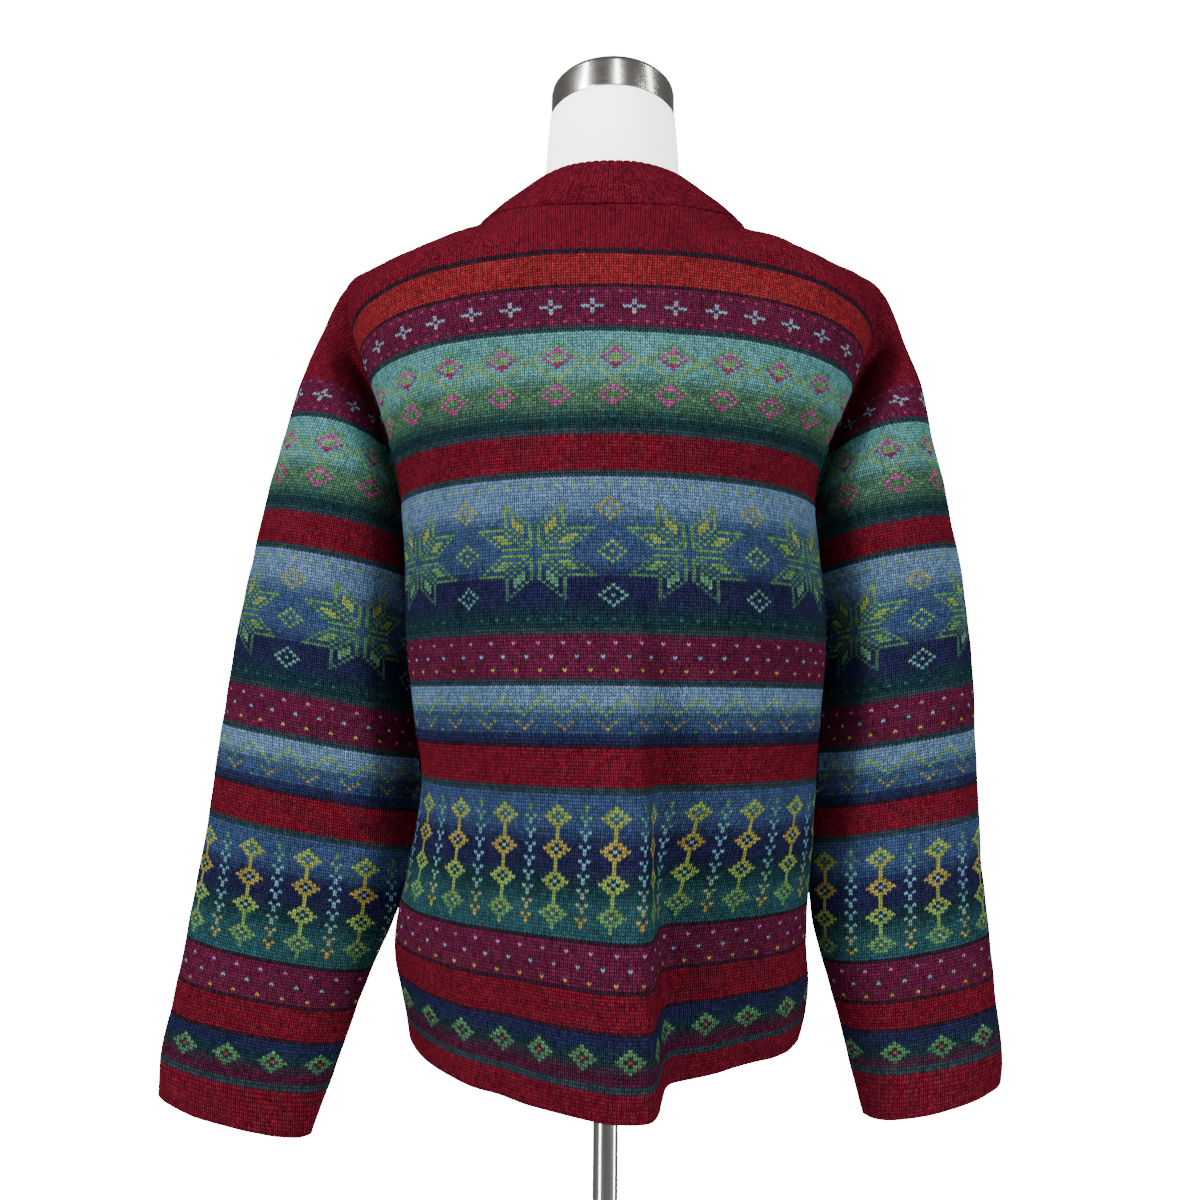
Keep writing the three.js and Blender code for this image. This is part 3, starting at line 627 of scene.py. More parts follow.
def gridMesh(name, p, knitU, knitV, bakeBox, colour):
    # a grid of points as a mesh, with stitch coordinates, a bake map and a yarn colour for each face
    rows, columns = p.shape[0] - 1, p.shape[1] - 1
    bm = bmesh.new()
    bmesh.ops.create_grid(bm, x_segments=columns, y_segments=rows, size=1)
    mesh = bpy.data.meshes.new(name)
    bm.to_mesh(mesh)
    bm.free()
    flat = np.empty(len(mesh.vertices) * 3)
    mesh.vertices.foreach_get("co", flat)
    flat = flat.reshape(-1, 3)
    col = np.rint((flat[:, 0] + 1) / 2 * columns).astype(int)
    row = np.rint((1 - flat[:, 1]) / 2 * rows).astype(int)
    mesh.vertices.foreach_set("co", (p[row, col] * 0.001).ravel())
    corner = np.empty(len(mesh.loops), dtype=int)
    mesh.loops.foreach_get("vertex_index", corner)
    ci, cj = col[corner], row[corner]
    faceCol = np.repeat(ci.reshape(-1, 4).min(axis=1), 4)
    faceRow = np.repeat(cj.reshape(-1, 4).min(axis=1), 4)
    stitchMap = mesh.uv_layers.new(name="Knit")
    stitchMap.data.foreach_set("uv", np.stack([knitU[ci], knitV[cj]], axis=-1).ravel())
    bake = mesh.uv_layers.new(name="OFBake")
    x0, y0, x1, y1 = bakeBox
    across, down = x0 + (x1 - x0) * ci / columns, y1 - (y1 - y0) * cj / rows
    bake.data.foreach_set("uv", np.stack([across, down], axis=-1).ravel())
    yarn = mesh.color_attributes.new("yarn", "FLOAT_COLOR", "CORNER")
    c = colour(faceRow, faceCol)
    yarn.data.foreach_set("color", np.concatenate([c, np.ones((len(c), 1))], axis=1).ravel())
    return mesh


def addPiece(name, bm, materials, sharpAngle=None):
    # smooth all over, or sharp where faces turn by more than an angle in degrees
    mesh = bpy.data.meshes.new(name)
    bm.to_mesh(mesh)
    bm.free()
    mesh.shade_smooth()
    if sharpAngle:
        mesh.set_sharp_from_angle(angle=math.radians(sharpAngle))
    for material in materials:
        mesh.materials.append(material)
    obj = bpy.data.objects.new(name, mesh)
    bpy.context.scene.collection.objects.link(obj)
    return obj


def addCloth(name, bm, material):
    bmesh.ops.recalc_face_normals(bm, faces=bm.faces[:])
    loose = sum(1 for e in bm.edges if not e.is_manifold)
    print(f"{name}: {len(bm.faces)} faces, {loose} open edges")
    return addPiece(name, bm, [material])


def knitPanel(name, columns, rows, surface, colours, material, outward, coarse=(4, 5), relief=0.5,
              shape=None):
    # a panel of V stitches outside, a coarser inside, and a rim that joins them
    i, j = np.meshgrid(np.arange(columns + 1.0), np.arange(rows + 1.0))
    even = surface(i, j)
    normal = gridNormals(even)
    if np.sum((even - outward) * normal) < 0:
        normal = -normal
    bump = ripple(even, relief)
    if shape is not None:
        bump = bump + shape(i / columns)
    dropped = np.clip(j + 0.5 * np.mod(i, 2), 0, rows)          # the middle of a stitch is half a row down
    outer = surface(i, dropped) + normal * bump[..., None]
    stepX, stepY = coarse
    inner = (even + normal * (bump - clothWall)[..., None])[::stepY, ::stepX]
    across, down = columns // stepX, rows // stepY

    outerMesh = gridMesh(name, outer, np.arange(columns + 1.0), np.arange(rows + 1.0), outsideBox,
                         lambda r, c: colours[r, c // 2])
    # the inside takes the outside's colours, darkened as painted shade
    innerMesh = gridMesh(name, inner, np.arange(across + 1.0) * stepX, np.arange(down + 1.0) * stepY,
                         insideBox, lambda r, c: colours[r * stepY, c * stepX // 2] * insidePaintedShade)
    bm = bmesh.new()
    bm.from_mesh(outerMesh)
    bm.from_mesh(innerMesh)
    bm.verts.ensure_lookup_table()
    # create_grid runs its vertices row by row from the low corner
    first = (rows + 1) * (columns + 1)
    out = lambda a, b: bm.verts[(rows - b) * (columns + 1) + a]
    inn = lambda a, b: bm.verts[first + (down - b) * (across + 1) + a]
    yarn = bm.loops.layers.float_color["yarn"]
    knit, bake = bm.loops.layers.uv["Knit"], bm.loops.layers.uv["OFBake"]

    # a rim face, its colour darkened as painted shade
    def rim(outerRun, innerRun, spot):
        face = bm.faces.new(outerRun + innerRun[::-1])
        for loop in face.loops:
            c = colours[min(int(spot[1]), rows - 1), min(int(spot[0]) // 2, columns // 2 - 1)] * rimPaintedShade
            loop[yarn] = (*c, 1)
            loop[knit].uv = spot
            loop[bake].uv = (0.62 + 0.36 * spot[0] / columns, 0.02 + 0.2 * spot[1] / rows)

    for a in range(across):
        for b, bb in ((0, 0), (rows, down)):
            edge = [out(a * stepX + k, b) for k in range(stepX + 1)]
            rim(edge, [inn(a, bb), inn(a + 1, bb)], (a * stepX, b))
    for b in range(down):
        for a, aa in ((0, 0), (columns, across)):
            edge = [out(a, b * stepY + k) for k in range(stepY + 1)]
            rim(edge, [inn(aa, b), inn(aa, b + 1)], (a, b * stepY))
    bpy.data.meshes.remove(outerMesh)
    bpy.data.meshes.remove(innerMesh)
    return addCloth(name, bm, material)


def copyCorners(bm, faces):
    # new faces take the colour and the stitch place of the faces that they join
    yarn = bm.loops.layers.float_color["yarn"]
    maps = [bm.loops.layers.uv[name] for name in ("Knit", "OFBake")]
    new = set(faces)
    for face in faces:
        for loop in face.loops:
            old = next((other for other in loop.vert.link_loops if other.face not in new), None)
            if old is not None:
                loop[yarn] = old[yarn]
                for layer in maps:
                    loop[layer].uv = old[layer].uv


# sleeves
# the right sleeve is shorter, and leaves out ten plain rows
sleeveWork = dict(stitch=3.15, row=2.33, tilt=0.18, start=1266, cuffRows=12,
                  tuck=1.2, tuckEase=3.5, join=4.5, joinEase=5,
                  leftOut={1: [], -1: [49, 50, 142, 143, 190, 191, 209, 210, 229, 230]})


def sleeveRows(side):
    # the sleeve read along its knitted rows, which lie level with a slight tilt
    w = sleeveWork
    turns, along = np.linspace(-0.5, 0.5, 361), np.linspace(0, 1, 281)
    p = sleeveSurface(side, np.mod(turns, 1), along)
    normal = gridNormals(p)
    if np.sum((p - p.mean(axis=1, keepdims=True)) * normal) < 0:
        normal = -normal
    normal[:, 0] = normal[:, -1] = unit(normal[:, 0] + normal[:, -1])
    level = np.minimum.accumulate(p[..., 2] - (np.abs(p[..., 0]) - 240) * w["tilt"], axis=0)
    top, low = level[0, 180], level[-1, 180]
    rows = int(round((top - low) / w["row"]))
    half = np.arange(2 * rows + 1)
    height = top - half * (top - low) / (2 * rows)
    place = np.stack([np.interp(-height, -level[:, t], along) for t in range(len(turns))], axis=1)
    h0 = 2 * (rows - w["cuffRows"])
    ease = np.clip((half - h0) / (2 * rows - h0), 0, 1)[:, None]
    place = np.where(ease > 0, place[h0] + (1 - place[h0]) * ease, place)

    def runs(sign):
        # every half row from the top of the sleeve round to the seam
        arm = np.minimum.accumulate(level[0, 180:] if sign > 0 else level[0, 180::-1])
        end = np.interp(-height, -arm, np.linspace(0, 180, 181))
        q = np.linspace(0, 1, 241)
        t = 180 + sign * end[:, None] * q[None, :]
        ti = np.clip(t.astype(int), 0, 359)
        tf = (t - ti)
        hh = np.arange(len(height))[:, None]
        a = (place[hh, ti] * (1 - tf) + place[hh, ti + 1] * tf) * 280
        ai = np.clip(a.astype(int), 0, 279)
        af = a - ai

        def read(grid):
            tf3, af3 = tf[..., None], af[..., None]
            return ((grid[ai, ti] * (1 - tf3) + grid[ai, ti + 1] * tf3) * (1 - af3)
                    + (grid[ai + 1, ti] * (1 - tf3) + grid[ai + 1, ti + 1] * tf3) * af3)

        points, out = read(p), unit(read(normal))
        step = np.linalg.norm(np.diff(points, axis=1), axis=-1)
        s = np.concatenate([np.zeros((len(height), 1)), np.cumsum(step, axis=1)], axis=1)
        return points, out, s

    sides = {sign: runs(sign) for sign in (-1, 1)}
    reach = max(s[:, -1].max() for _, _, s in sides.values())
    count = int(math.ceil(reach / (w["stitch"] / 2)))
    count += count % 2
    grid, lift = np.empty((rows + 1, 2 * count + 1, 3)), np.empty((rows + 1, 2 * count + 1, 3))
    for sign, (points, out, s) in sides.items():
        for c in range(count + 1):
            spot = c * w["stitch"] / 2
            for k in range(rows + 1):
                h = 2 * k
                if spot >= s[h, -1] - 0.4:
                    here, n, edge = points[h, -1], out[h, -1], 0.0
                else:
                    if c % 2 and 0 < k < rows and spot < s[h - 1, -1] - 0.4:
                        h -= 1                               # the middle of a stitch is half a row up
                    edge = s[h, -1] - spot
                    x = min(max(np.searchsorted(s[h], spot) - 1, 0), 239)
                    f = (spot - s[h, x]) / max(s[h, x + 1] - s[h, x], 1e-9)
                    here = points[h, x] * (1 - f) + points[h, x + 1] * f
                    n = unit(out[h, x] * (1 - f) + out[h, x + 1] * f)
                grid[k, count + sign * c] = here
                deep = w["tuck"] * math.exp(-edge / w["tuckEase"])
                lift[k, count + sign * c] = n * (ripple(here, 0.5) - deep)
                # its edge goes under the body's
                lift[k, count + sign * c, 0] -= side * w["join"] * math.exp(-edge / w["joinEase"])
    levels = height[::2]
    return grid + lift, levels, count, p, normal


def makeSleeve(name, side, material):
    w = sleeveWork
    outer, levels, count, p, normal = sleeveRows(side)
    rows, columns = outer.shape[0] - 1, outer.shape[1] - 1
    colours = np.zeros((rows, columns // 2, 3)) + yarnColour["red"]
    first = int(np.argmax(levels < w["start"]))
    chart = makeChart(columns // 2, 5 if side > 0 else 2)[sleeveSkip:]
    chart = np.delete(chart, np.array(w["leftOut"][side], dtype=int), axis=0)
    last = min(rows, first + len(chart))
    colours[first:last] = chart[:last - first]
    outerMesh = gridMesh(name, outer, np.arange(columns + 1.0), np.arange(rows + 1.0), outsideBox,
                         lambda r, c: colours[r, c // 2])
    turns, along = np.arange(0, 361, 5), np.arange(0, 281, 4)
    inner = (p - normal * clothWall)[np.ix_(along, turns)]
    inward = p[np.ix_(along, turns)]
    level = inward[..., 2] - (np.abs(inward[..., 0]) - 240) * w["tilt"]
    rowAt = np.clip(np.interp(-level.ravel(), -levels, np.arange(len(levels))), 0, rows - 1).astype(int)
    rowAt = rowAt.reshape(level.shape)
    # the inside takes the row's colours, darkened as painted shade
    innerMesh = gridMesh(name + "Inside", inner, turns * columns / 360.0, along * rows / 280.0, insideBox,
                         lambda r, c: colours[rowAt[r, c], c % (columns // 2)] * insidePaintedShade)
    bm = bmesh.new()
    bm.from_mesh(outerMesh)
    bmesh.ops.remove_doubles(bm, verts=bm.verts[:], dist=0.00001)
    bmesh.ops.dissolve_degenerate(bm, edges=bm.edges[:], dist=0.00001)
    outerEdges = [e for e in bm.edges if e.is_boundary]
    ring = bmesh.new()
    ring.from_mesh(innerMesh)
    bmesh.ops.remove_doubles(ring, verts=ring.verts[:], dist=0.00001)
    ring.to_mesh(innerMesh)
    ring.free()
    known = set(bm.edges)
    bm.from_mesh(innerMesh)
    innerEdges = [e for e in bm.edges if e not in known and e.is_boundary]
    for upper in (True, False):
        middle = lambda e: (e.verts[0].co.z + e.verts[1].co.z) / 2 > 1.0
        edges = [e for e in outerEdges + innerEdges if middle(e) == upper]
        made = bmesh.ops.bridge_loops(bm, edges=edges)
        copyCorners(bm, made["faces"])
    bpy.data.meshes.remove(outerMesh)
    bpy.data.meshes.remove(innerMesh)
    return addCloth(name, bm, material), p


# trims: the neckband's ends go under the bands, which lap over each other at the front
neckband = dict(size=(280, 18), tuck=1.5, bulge=2, shade=0.94)
buttonBand = dict(sizes={1: (20, 300), -1: (24, 300)}, free={1: 9, -1: bandHalf - 0.3}, past=0.15, lap=3.1,
                  ease=7, shade=0.97)
sidePanel = dict(size=(34, 187))


def eachFace(make, sine):
    return np.where((sine >= 0)[..., None], make("back"), make("front"))


def neckbandPoint(u, v):
    # up from the neck seam, from the left button band round the back to the right one
    widest = neckSeam["side"] + (neckTop["side"] - neckSeam["side"]) * v
    end = np.arccos((bandHalf - neckband["tuck"]) / widest)
    turn = -end + (math.pi + 2 * end) * u
    sine, side = np.sin(turn), np.where(np.cos(turn) >= 0, 1, -1)
    away = np.arcsin(np.abs(sine))
    low = eachFace(lambda face: neckPoint(neckSeam, face, side, away), sine)
    high = eachFace(lambda face: neckPoint(neckTop, face, side, away), sine)
    p = low + (high - low) * v[..., None]
    flat = p * np.array([1, 1, 0])
    return p + unit(flat) * (neckband["bulge"] * 4 * v * (1 - v))[..., None]


bandEdge = np.vstack([bodyPoint("frontLeft", np.zeros(81), np.linspace(0, 1, 81)),
                      neckPoint(neckTop, "front", 1, np.array([math.acos(bandHalf / neckTop["side"])]))])


def buttonBandPoint(side, u, v):
    b = buttonBand
    free = b["free"][side]
    x = -free + (free + bandHalf - b["past"]) * u
    p = readRun(bandEdge, v)
    lap = b["lap"] * smooth((bandHalf - x) / b["ease"]) if side < 0 else 0 * x
    return np.stack([side * x, p[..., 1] - lap, p[..., 2]], axis=-1)


# buttons
# in metres, and top and low are shares of the band's length; the dish starts at a share of the radius
button = dict(radius=0.0075, thick=0.0024, rim=0.0007, dish=0.80, dishEase=0.12, round=0.0006, roundFrom=0.93,
              hole=0.0009, holeX=0.0017, holeDeep=0.0012, thread=0.00035, threadLong=0.0023,
              threadApart=0.0004, threadSunk=0.0005, count=7, top=0.975, low=0.045, lift=0.0008)


def lathe(name, profile, segments, material):
    # a closed solid of revolution about z
    bm = bmesh.new()
    line = [bm.verts.new((r, 0, z)) for r, z in profile]
    edges = [bm.edges.new(pair) for pair in zip(line, line[1:])]
    bmesh.ops.spin(bm, geom=line + edges, cent=(0, 0, 0), axis=(0, 0, 1), angle=2 * math.pi, steps=segments,
                   use_merge=True)
    bmesh.ops.remove_doubles(bm, verts=bm.verts[:], dist=1e-6)
    bmesh.ops.recalc_face_normals(bm, faces=bm.faces[:])
    return addPiece(name, bm, [material], 35)


def makeButton(name, place, materials):
    # a dished disc with a rim and two holes, and thread through them
    b = button
    rings, around = 18, 60
    bm = bmesh.new()
    front = []
    for i in range(rings + 1):
        r = b["radius"] * i / rings
        ring = []
        for j in range(around if i else 1):
            t = 2 * math.pi * j / around
            x, y = r * math.cos(t), r * math.sin(t)
            z = b["thick"] / 2 - b["rim"] * smooth((b["dish"] - r / b["radius"]) / b["dishEase"])
            z -= b["round"] * smooth((r / b["radius"] - b["roundFrom"]) / (1 - b["roundFrom"]))
            near = min(math.hypot(x - s * b["holeX"], y) for s in (-1, 1))
            z -= b["holeDeep"] * (1 - smooth((near - b["hole"] * 0.8) / (b["hole"] * 0.5)))
            ring.append(bm.verts.new((x, y, z)))
        front.append(ring)
    back = [bm.verts.new((b["radius"] * math.cos(2 * math.pi * j / around) * k,
                          b["radius"] * math.sin(2 * math.pi * j / around) * k, z))
            for k, z in ((1, -b["thick"] * 0.25), (0.9, -b["thick"] / 2)) for j in range(around)]
    rims = [front[-1], back[:around], back[around:]]
    for j in range(around):
        k = (j + 1) % around
        bm.faces.new((front[0][0], front[1][j], front[1][k]))
        for a, c in list(zip(front[1:], front[2:])) + list(zip(rims, rims[1:])):
            bm.faces.new((a[j], c[j], c[k], a[k]))
    bm.faces.new(back[around:][::-1])
    bmesh.ops.recalc_face_normals(bm, faces=bm.faces[:])
    bodyFaces = len(bm.faces)
    threadZ = b["thick"] / 2 - b["threadSunk"]
    for y in (-b["threadApart"], b["threadApart"]):
        for v in bmesh.ops.create_uvsphere(bm, u_segments=16, v_segments=8, radius=1)["verts"]:
            v.co = Vector((v.co.x * b["threadLong"], v.co.y * b["thread"] + y,
                           v.co.z * b["thread"] + threadZ))
    bm.faces.ensure_lookup_table()
    for face in bm.faces[bodyFaces:]:
        face.material_index = 1
    bm.transform(place)
    return addPiece(name, bm, materials)


# the dress form
formTable = makeTable("z halfX back front", """
    782  134 60  -84
    850  134 62  -88
    930  124 64  -84
    1000 114 68  -84
    1060 120 76  -94
    1120 132 88 -112
    1180 142 92 -120
    1240 154 90 -108
    1300 172 80  -84
    1340 186 64  -62
    1366 180 46  -44
    1380 157 40  -38
    1392 129 42  -40
    1403.4 102 46 -44
    1414 80  52  -52
    1430 65  55  -55
    1452 58  55  -55
    1480 56  54  -54
    1506 54  53  -53
""")
capProfile = [(0, 1506.3), (51.6, 1506.3), (53, 1507.5), (53, 1529), (52.4, 1531.5), (50.8, 1533.4),
              (48, 1534.6), (44, 1535.2), (20, 1535.8), (0, 1536)]
poleProfile = [(0, 10.3), (9.5, 10.3), (9.5, 781.6), (0, 781.6)]
footProfile = [(0, 0), (186, 0), (189, 0.8), (190, 2), (190, 3.2), (188.6, 5.4), (185, 7), (120, 9.9),
               (60, 13), (32, 15.2), (25, 16.4), (22, 18.2), (21, 21), (21, 61), (20.4, 63.2), (18, 65),
               (9.8, 65), (9.8, 10), (0, 10)]


def makeForm(name, material):
    rings, around = 150, 128
    z = np.linspace(formTable["z"][0], formTable["z"][-1], rings + 1)
    turn = np.linspace(0, 2 * math.pi, around, endpoint=False)
    half = {k: readTable(formTable, z, k)[:, None] for k in ("halfX", "back", "front")}
    x = half["halfX"] * np.cos(turn)
    y = np.where(np.sin(turn) > 0, half["back"], -half["front"]) * np.sin(turn)
    bm = bmesh.new()
    verts = [[bm.verts.new((x[i, j] / 1000, y[i, j] / 1000, z[i] / 1000)) for j in range(around)]
             for i in range(rings + 1)]
    for i in range(rings):
        for j in range(around):
            k = (j + 1) % around
            bm.faces.new((verts[i][j], verts[i][k], verts[i + 1][k], verts[i + 1][j]))
    bm.faces.new(verts[0][::-1])
    bm.faces.new(verts[-1])
    bmesh.ops.recalc_face_normals(bm, faces=bm.faces[:])
    return addPiece(name, bm, [material], 50)


# materials
def newGroup(name, inputs, outputs):
    tree = bpy.data.node_groups.new(name, "ShaderNodeTree")
    for socket, kind, value in inputs:
        made = tree.interface.new_socket(name=socket, in_out="INPUT", socket_type=kind)
        if value is not None:
            made.default_value = value
    for socket, kind in outputs:
        tree.interface.new_socket(name=socket, in_out="OUTPUT", socket_type=kind)
    return tree, tree.nodes.new("NodeGroupInput"), tree.nodes.new("NodeGroupOutput")


def feed(tree, node, values):
    # another node's output is linked, and a plain value is set on the socket itself
    for socket, value in values.items():
        if isinstance(value, bpy.types.NodeSocket):
            tree.links.new(value, node.inputs[socket])
        else:
            node.inputs[socket].default_value = value
    return node


def combine(tree, kind, *values, clamp=False):
    node = tree.nodes.new("ShaderNodeMath")
    node.operation, node.use_clamp = kind, clamp
    return feed(tree, node, dict(enumerate(values))).outputs[0]


def vectorStep(tree, kind, vector, values=None):
    node = tree.nodes.new("ShaderNodeVectorMath")
    node.operation = kind
    return feed(tree, node, {0: vector, **(values or {})}).outputs[0]


def noise(tree, vector, scale, detail):
    node = tree.nodes.new("ShaderNodeTexNoise")
    feed(tree, node, {"Vector": vector, "Scale": scale, "Detail": detail, "Roughness": 0.55})
    return node.outputs["Fac"]


def shades(tree, place, dark, light):
    node = tree.nodes.new("ShaderNodeValToRGB")
    for stop, colour in zip(node.color_ramp.elements, (dark, light)):
        stop.color = (*colour, 1)
    return feed(tree, node, {0: place}).outputs[0]


def ridge(tree, value):
    # 1 at whole numbers, 0 half way between
    return combine(tree, "ABSOLUTE", combine(tree, "MULTIPLY_ADD", combine(tree, "FRACT", value), 2.0, -1.0))


def knitRelief():
    # one bulging leg of yarn in each square of the stitch map, and a painted shade that darkens the hollows
    # round each leg and between the stitch columns
    tree, given, out = newGroup("knitRelief", [("Knit", "NodeSocketVector", None)],
                                [(name, "NodeSocketFloat") for name in ("Height", "PaintedShade", "Cell")])
    xyz = feed(tree, tree.nodes.new("ShaderNodeSeparateXYZ"), {0: given.outputs["Knit"]})
    ridges = [ridge(tree, xyz.outputs[axis]) for axis in ("X", "Y")]
    round1, round2 = (combine(tree, "SUBTRACT", 1.0, combine(tree, "POWER", r, 2.0)) for r in ridges)
    between = ridge(tree, combine(tree, "MULTIPLY", xyz.outputs["X"], 0.5))         # 1 between the stitches
    # lower between the stitch columns, and darker there as painted shade
    column = combine(tree, "MULTIPLY_ADD", combine(tree, "POWER", between, 5.0), -0.62, 1.0)
    leg = combine(tree, "SQRT", combine(tree, "MULTIPLY", round1, round2))
    height = combine(tree, "MULTIPLY", leg, column)
    cell = tree.nodes.new("ShaderNodeTexWhiteNoise")
    cell.noise_dimensions = "2D"
    feed(tree, cell, {"Vector": vectorStep(tree, "FLOOR", given.outputs["Knit"])})
    # painted shade: 0.14 in the hollows, rising with the height of the yarn
    feed(tree, out, {"Height": height, "PaintedShade": combine(tree, "MULTIPLY_ADD", height, 0.95, 0.14, clamp=True),
                     "Cell": cell.outputs["Value"]})
    return tree


def woolHeather():
    # carded wool: lighter and darker hairs, and slow changes along the yarn
    tree, given, out = newGroup("woolHeather", [("Vector", "NodeSocketVector", None),
                                                ("Colour", "NodeSocketColor", None)],
                                [("Colour", "NodeSocketColor"), ("Fuzz", "NodeSocketFloat")])
    fine, slow, broad = (noise(tree, given.outputs["Vector"], scale, 2) for scale in (1500, 210, 18))
    light = combine(tree, "MULTIPLY_ADD", fine, 1.5, 0.25)
    light = combine(tree, "MULTIPLY", light, combine(tree, "MULTIPLY_ADD", slow, 0.8, 0.6))
    light = combine(tree, "MULTIPLY", light, combine(tree, "MULTIPLY_ADD", broad, 0.5, 0.75))
    feed(tree, out, {"Colour": vectorStep(tree, "SCALE", given.outputs["Colour"], {"Scale": light}),
                     "Fuzz": fine})
    return tree


def newMaterial(name):
    material = bpy.data.materials.new(name)
    material.use_nodes = True
    return material, material.node_tree, material.node_tree.nodes["Principled BSDF"]


def coordinates(tree):
    return tree.nodes.new("ShaderNodeTexCoord").outputs["Object"]


def bump(tree, height, distance, strength):
    node = tree.nodes.new("ShaderNodeBump")
    feed(tree, node, {"Strength": strength, "Distance": distance, "Height": height})
    return node.outputs["Normal"]


def useGroup(tree, group, values):
    node = tree.nodes.new("ShaderNodeGroup")
    node.node_tree = group
    return feed(tree, node, values).outputs


def woolMaterial(name, relief, heather):
    material, tree, shader = newMaterial(name)
    yarn = tree.nodes.new("ShaderNodeVertexColor")
    yarn.layer_name = "yarn"
    knit = tree.nodes.new("ShaderNodeUVMap")
    knit.uv_map = "Knit"
    legs = useGroup(tree, relief, {"Knit": knit.outputs["UV"]})
    wool = useGroup(tree, heather, {"Vector": coordinates(tree), "Colour": yarn.outputs["Color"]})
    # painted shade from the hollows of the knit, times a random tone for each stitch, darkens the yarn's
    # colour
    light = combine(tree, "MULTIPLY", legs["PaintedShade"], combine(tree, "MULTIPLY_ADD", legs["Cell"], 0.6, 0.7))
    height = combine(tree, "MULTIPLY_ADD", wool["Fuzz"], 0.35, legs["Height"])
    feed(tree, shader, {"Base Color": vectorStep(tree, "SCALE", wool["Colour"], {"Scale": light}),
                        "Roughness": 0.92, "Specular IOR Level": 0.0,
                        "Normal": bump(tree, height, 0.0009, 1.0)})
    return material


def jerseyMaterial():
    material, tree, shader = newMaterial("formJersey")
    where = coordinates(tree)
    fine, slow = noise(tree, where, 900, 3), noise(tree, where, 30, 2)
    mottle = combine(tree, "MULTIPLY_ADD", fine, 0.5, combine(tree, "MULTIPLY", slow, 0.5))
    feed(tree, shader, {"Base Color": shades(tree, mottle, (0.84, 0.83, 0.81), (0.95, 0.945, 0.93)),
                        "Roughness": 0.85, "Normal": bump(tree, fine, 0.0003, 0.4)})
    return material


def metalMaterial(name, colour, rough, stretch):
    # brushed along the direction in which stretch is small
    material, tree, shader = newMaterial(name)
    grain = noise(tree, vectorStep(tree, "MULTIPLY", coordinates(tree), {1: stretch}), 1.0, 4)
    dark, light = [c * 0.82 for c in colour], [min(c * 1.12, 1) for c in colour]
    feed(tree, shader, {"Base Color": shades(tree, grain, dark, light), "Metallic": 1.0,
                        "Roughness": combine(tree, "MULTIPLY_ADD", grain, 0.16, rough - 0.08),
                        "Normal": bump(tree, grain, 0.00005, 0.4)})
    return material


def buttonMaterial():
    material, tree, shader = newMaterial("plumButton")
    where = coordinates(tree)
    swirl, fine = noise(tree, where, 260, 4), noise(tree, where, 1900, 2)
    feed(tree, shader, {"Base Color": shades(tree, swirl, linear((38, 12, 20)), linear((84, 34, 42))),
                        "Roughness": combine(tree, "MULTIPLY_ADD", fine, 0.2, 0.28),
                        "Specular IOR Level": 0.25, "Normal": bump(tree, fine, 0.00008, 0.5)})
    return material


def threadMaterial():
    material, tree, shader = newMaterial("buttonThread")
    strands = noise(tree, coordinates(tree), 2600, 2)
    feed(tree, shader, {"Base Color": shades(tree, strands, linear((70, 12, 22)), linear((140, 34, 46))),
                        "Roughness": 0.8, "Normal": bump(tree, strands, 0.0001, 0.6)})
    return material


relief, heather = knitRelief(), woolHeather()
patternedWool = woolMaterial("patternedWool", relief, heather)
redWool = woolMaterial("redWool", relief, heather)
jersey = jerseyMaterial()
nickel = metalMaterial("nickel", (0.46, 0.44, 0.41), 0.20, (60, 60, 1400))
steel = metalMaterial("steel", (0.36, 0.355, 0.35), 0.16, (900, 900, 12))
plum, thread = buttonMaterial(), threadMaterial()
print("materials ready")


# all the pieces
def cutOf(p):
    # width, length and area of a surface laid flat, in metres
    p = p / 1000
    wide = np.linalg.norm(np.diff(p, axis=1), axis=-1).sum(axis=1).max()
    long = np.linalg.norm(np.diff(p, axis=0), axis=-1).sum(axis=0).max()
    a, b = p[1:, 1:] - p[:-1, :-1], p[1:, :-1] - p[:-1, 1:]
    area = np.linalg.norm(np.cross(a, b), axis=-1).sum() / 2
    return float(wide), float(long), float(area)


def declare(obj, node, cut):
    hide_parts(*([node] if isinstance(node, str) else node))
    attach(obj, "root")


def evenCut(columns, rows, surface):
    i, j = np.meshgrid(np.linspace(0, columns, 60), np.linspace(0, rows, 60))
    return cutOf(surface(i, j))


form = makeForm("form", jersey)
declare(form, "torso", None)

# the cloth is drawn in a little where it is sewn
seam = dict(deep=1.2, ease=3.5, wide=dict(back=450, frontLeft=215, frontRight=215))
body = np.array([0, 0, 1100.0])


def drawnIn(u, wide):
    return -seam["deep"] * (np.exp(-u * wide / seam["ease"]) + np.exp(-(1 - u) * wide / seam["ease"]))


for piece, node in (("back", "back"), ("frontLeft", "front_left"), ("frontRight", "front_right")):
    columns, rows, surface, colours = bodyKnit(piece)
    obj = knitPanel(piece + "Panel", columns, rows, surface, colours, patternedWool, body,
                    shape=lambda u: drawnIn(u, seam["wide"][piece]))
    declare(obj, node, evenCut(columns, rows, surface))


def redPanel(name, node, size, point, held, rests, shade=1.0, outward=body, **knit):
    # one of the plain red pieces, over a surface given by shares of its width and height
    columns, rows = size
    surface = lambda i, j: point(i / columns, 1 - np.clip(j, 0, rows) / rows)
    colours = np.zeros((rows, columns // 2, 3)) + yarnColour["red"] * shade
    obj = knitPanel(name, columns, rows, surface, colours, redWool, outward, **knit)
    declare(obj, node, evenCut(columns, rows, surface))


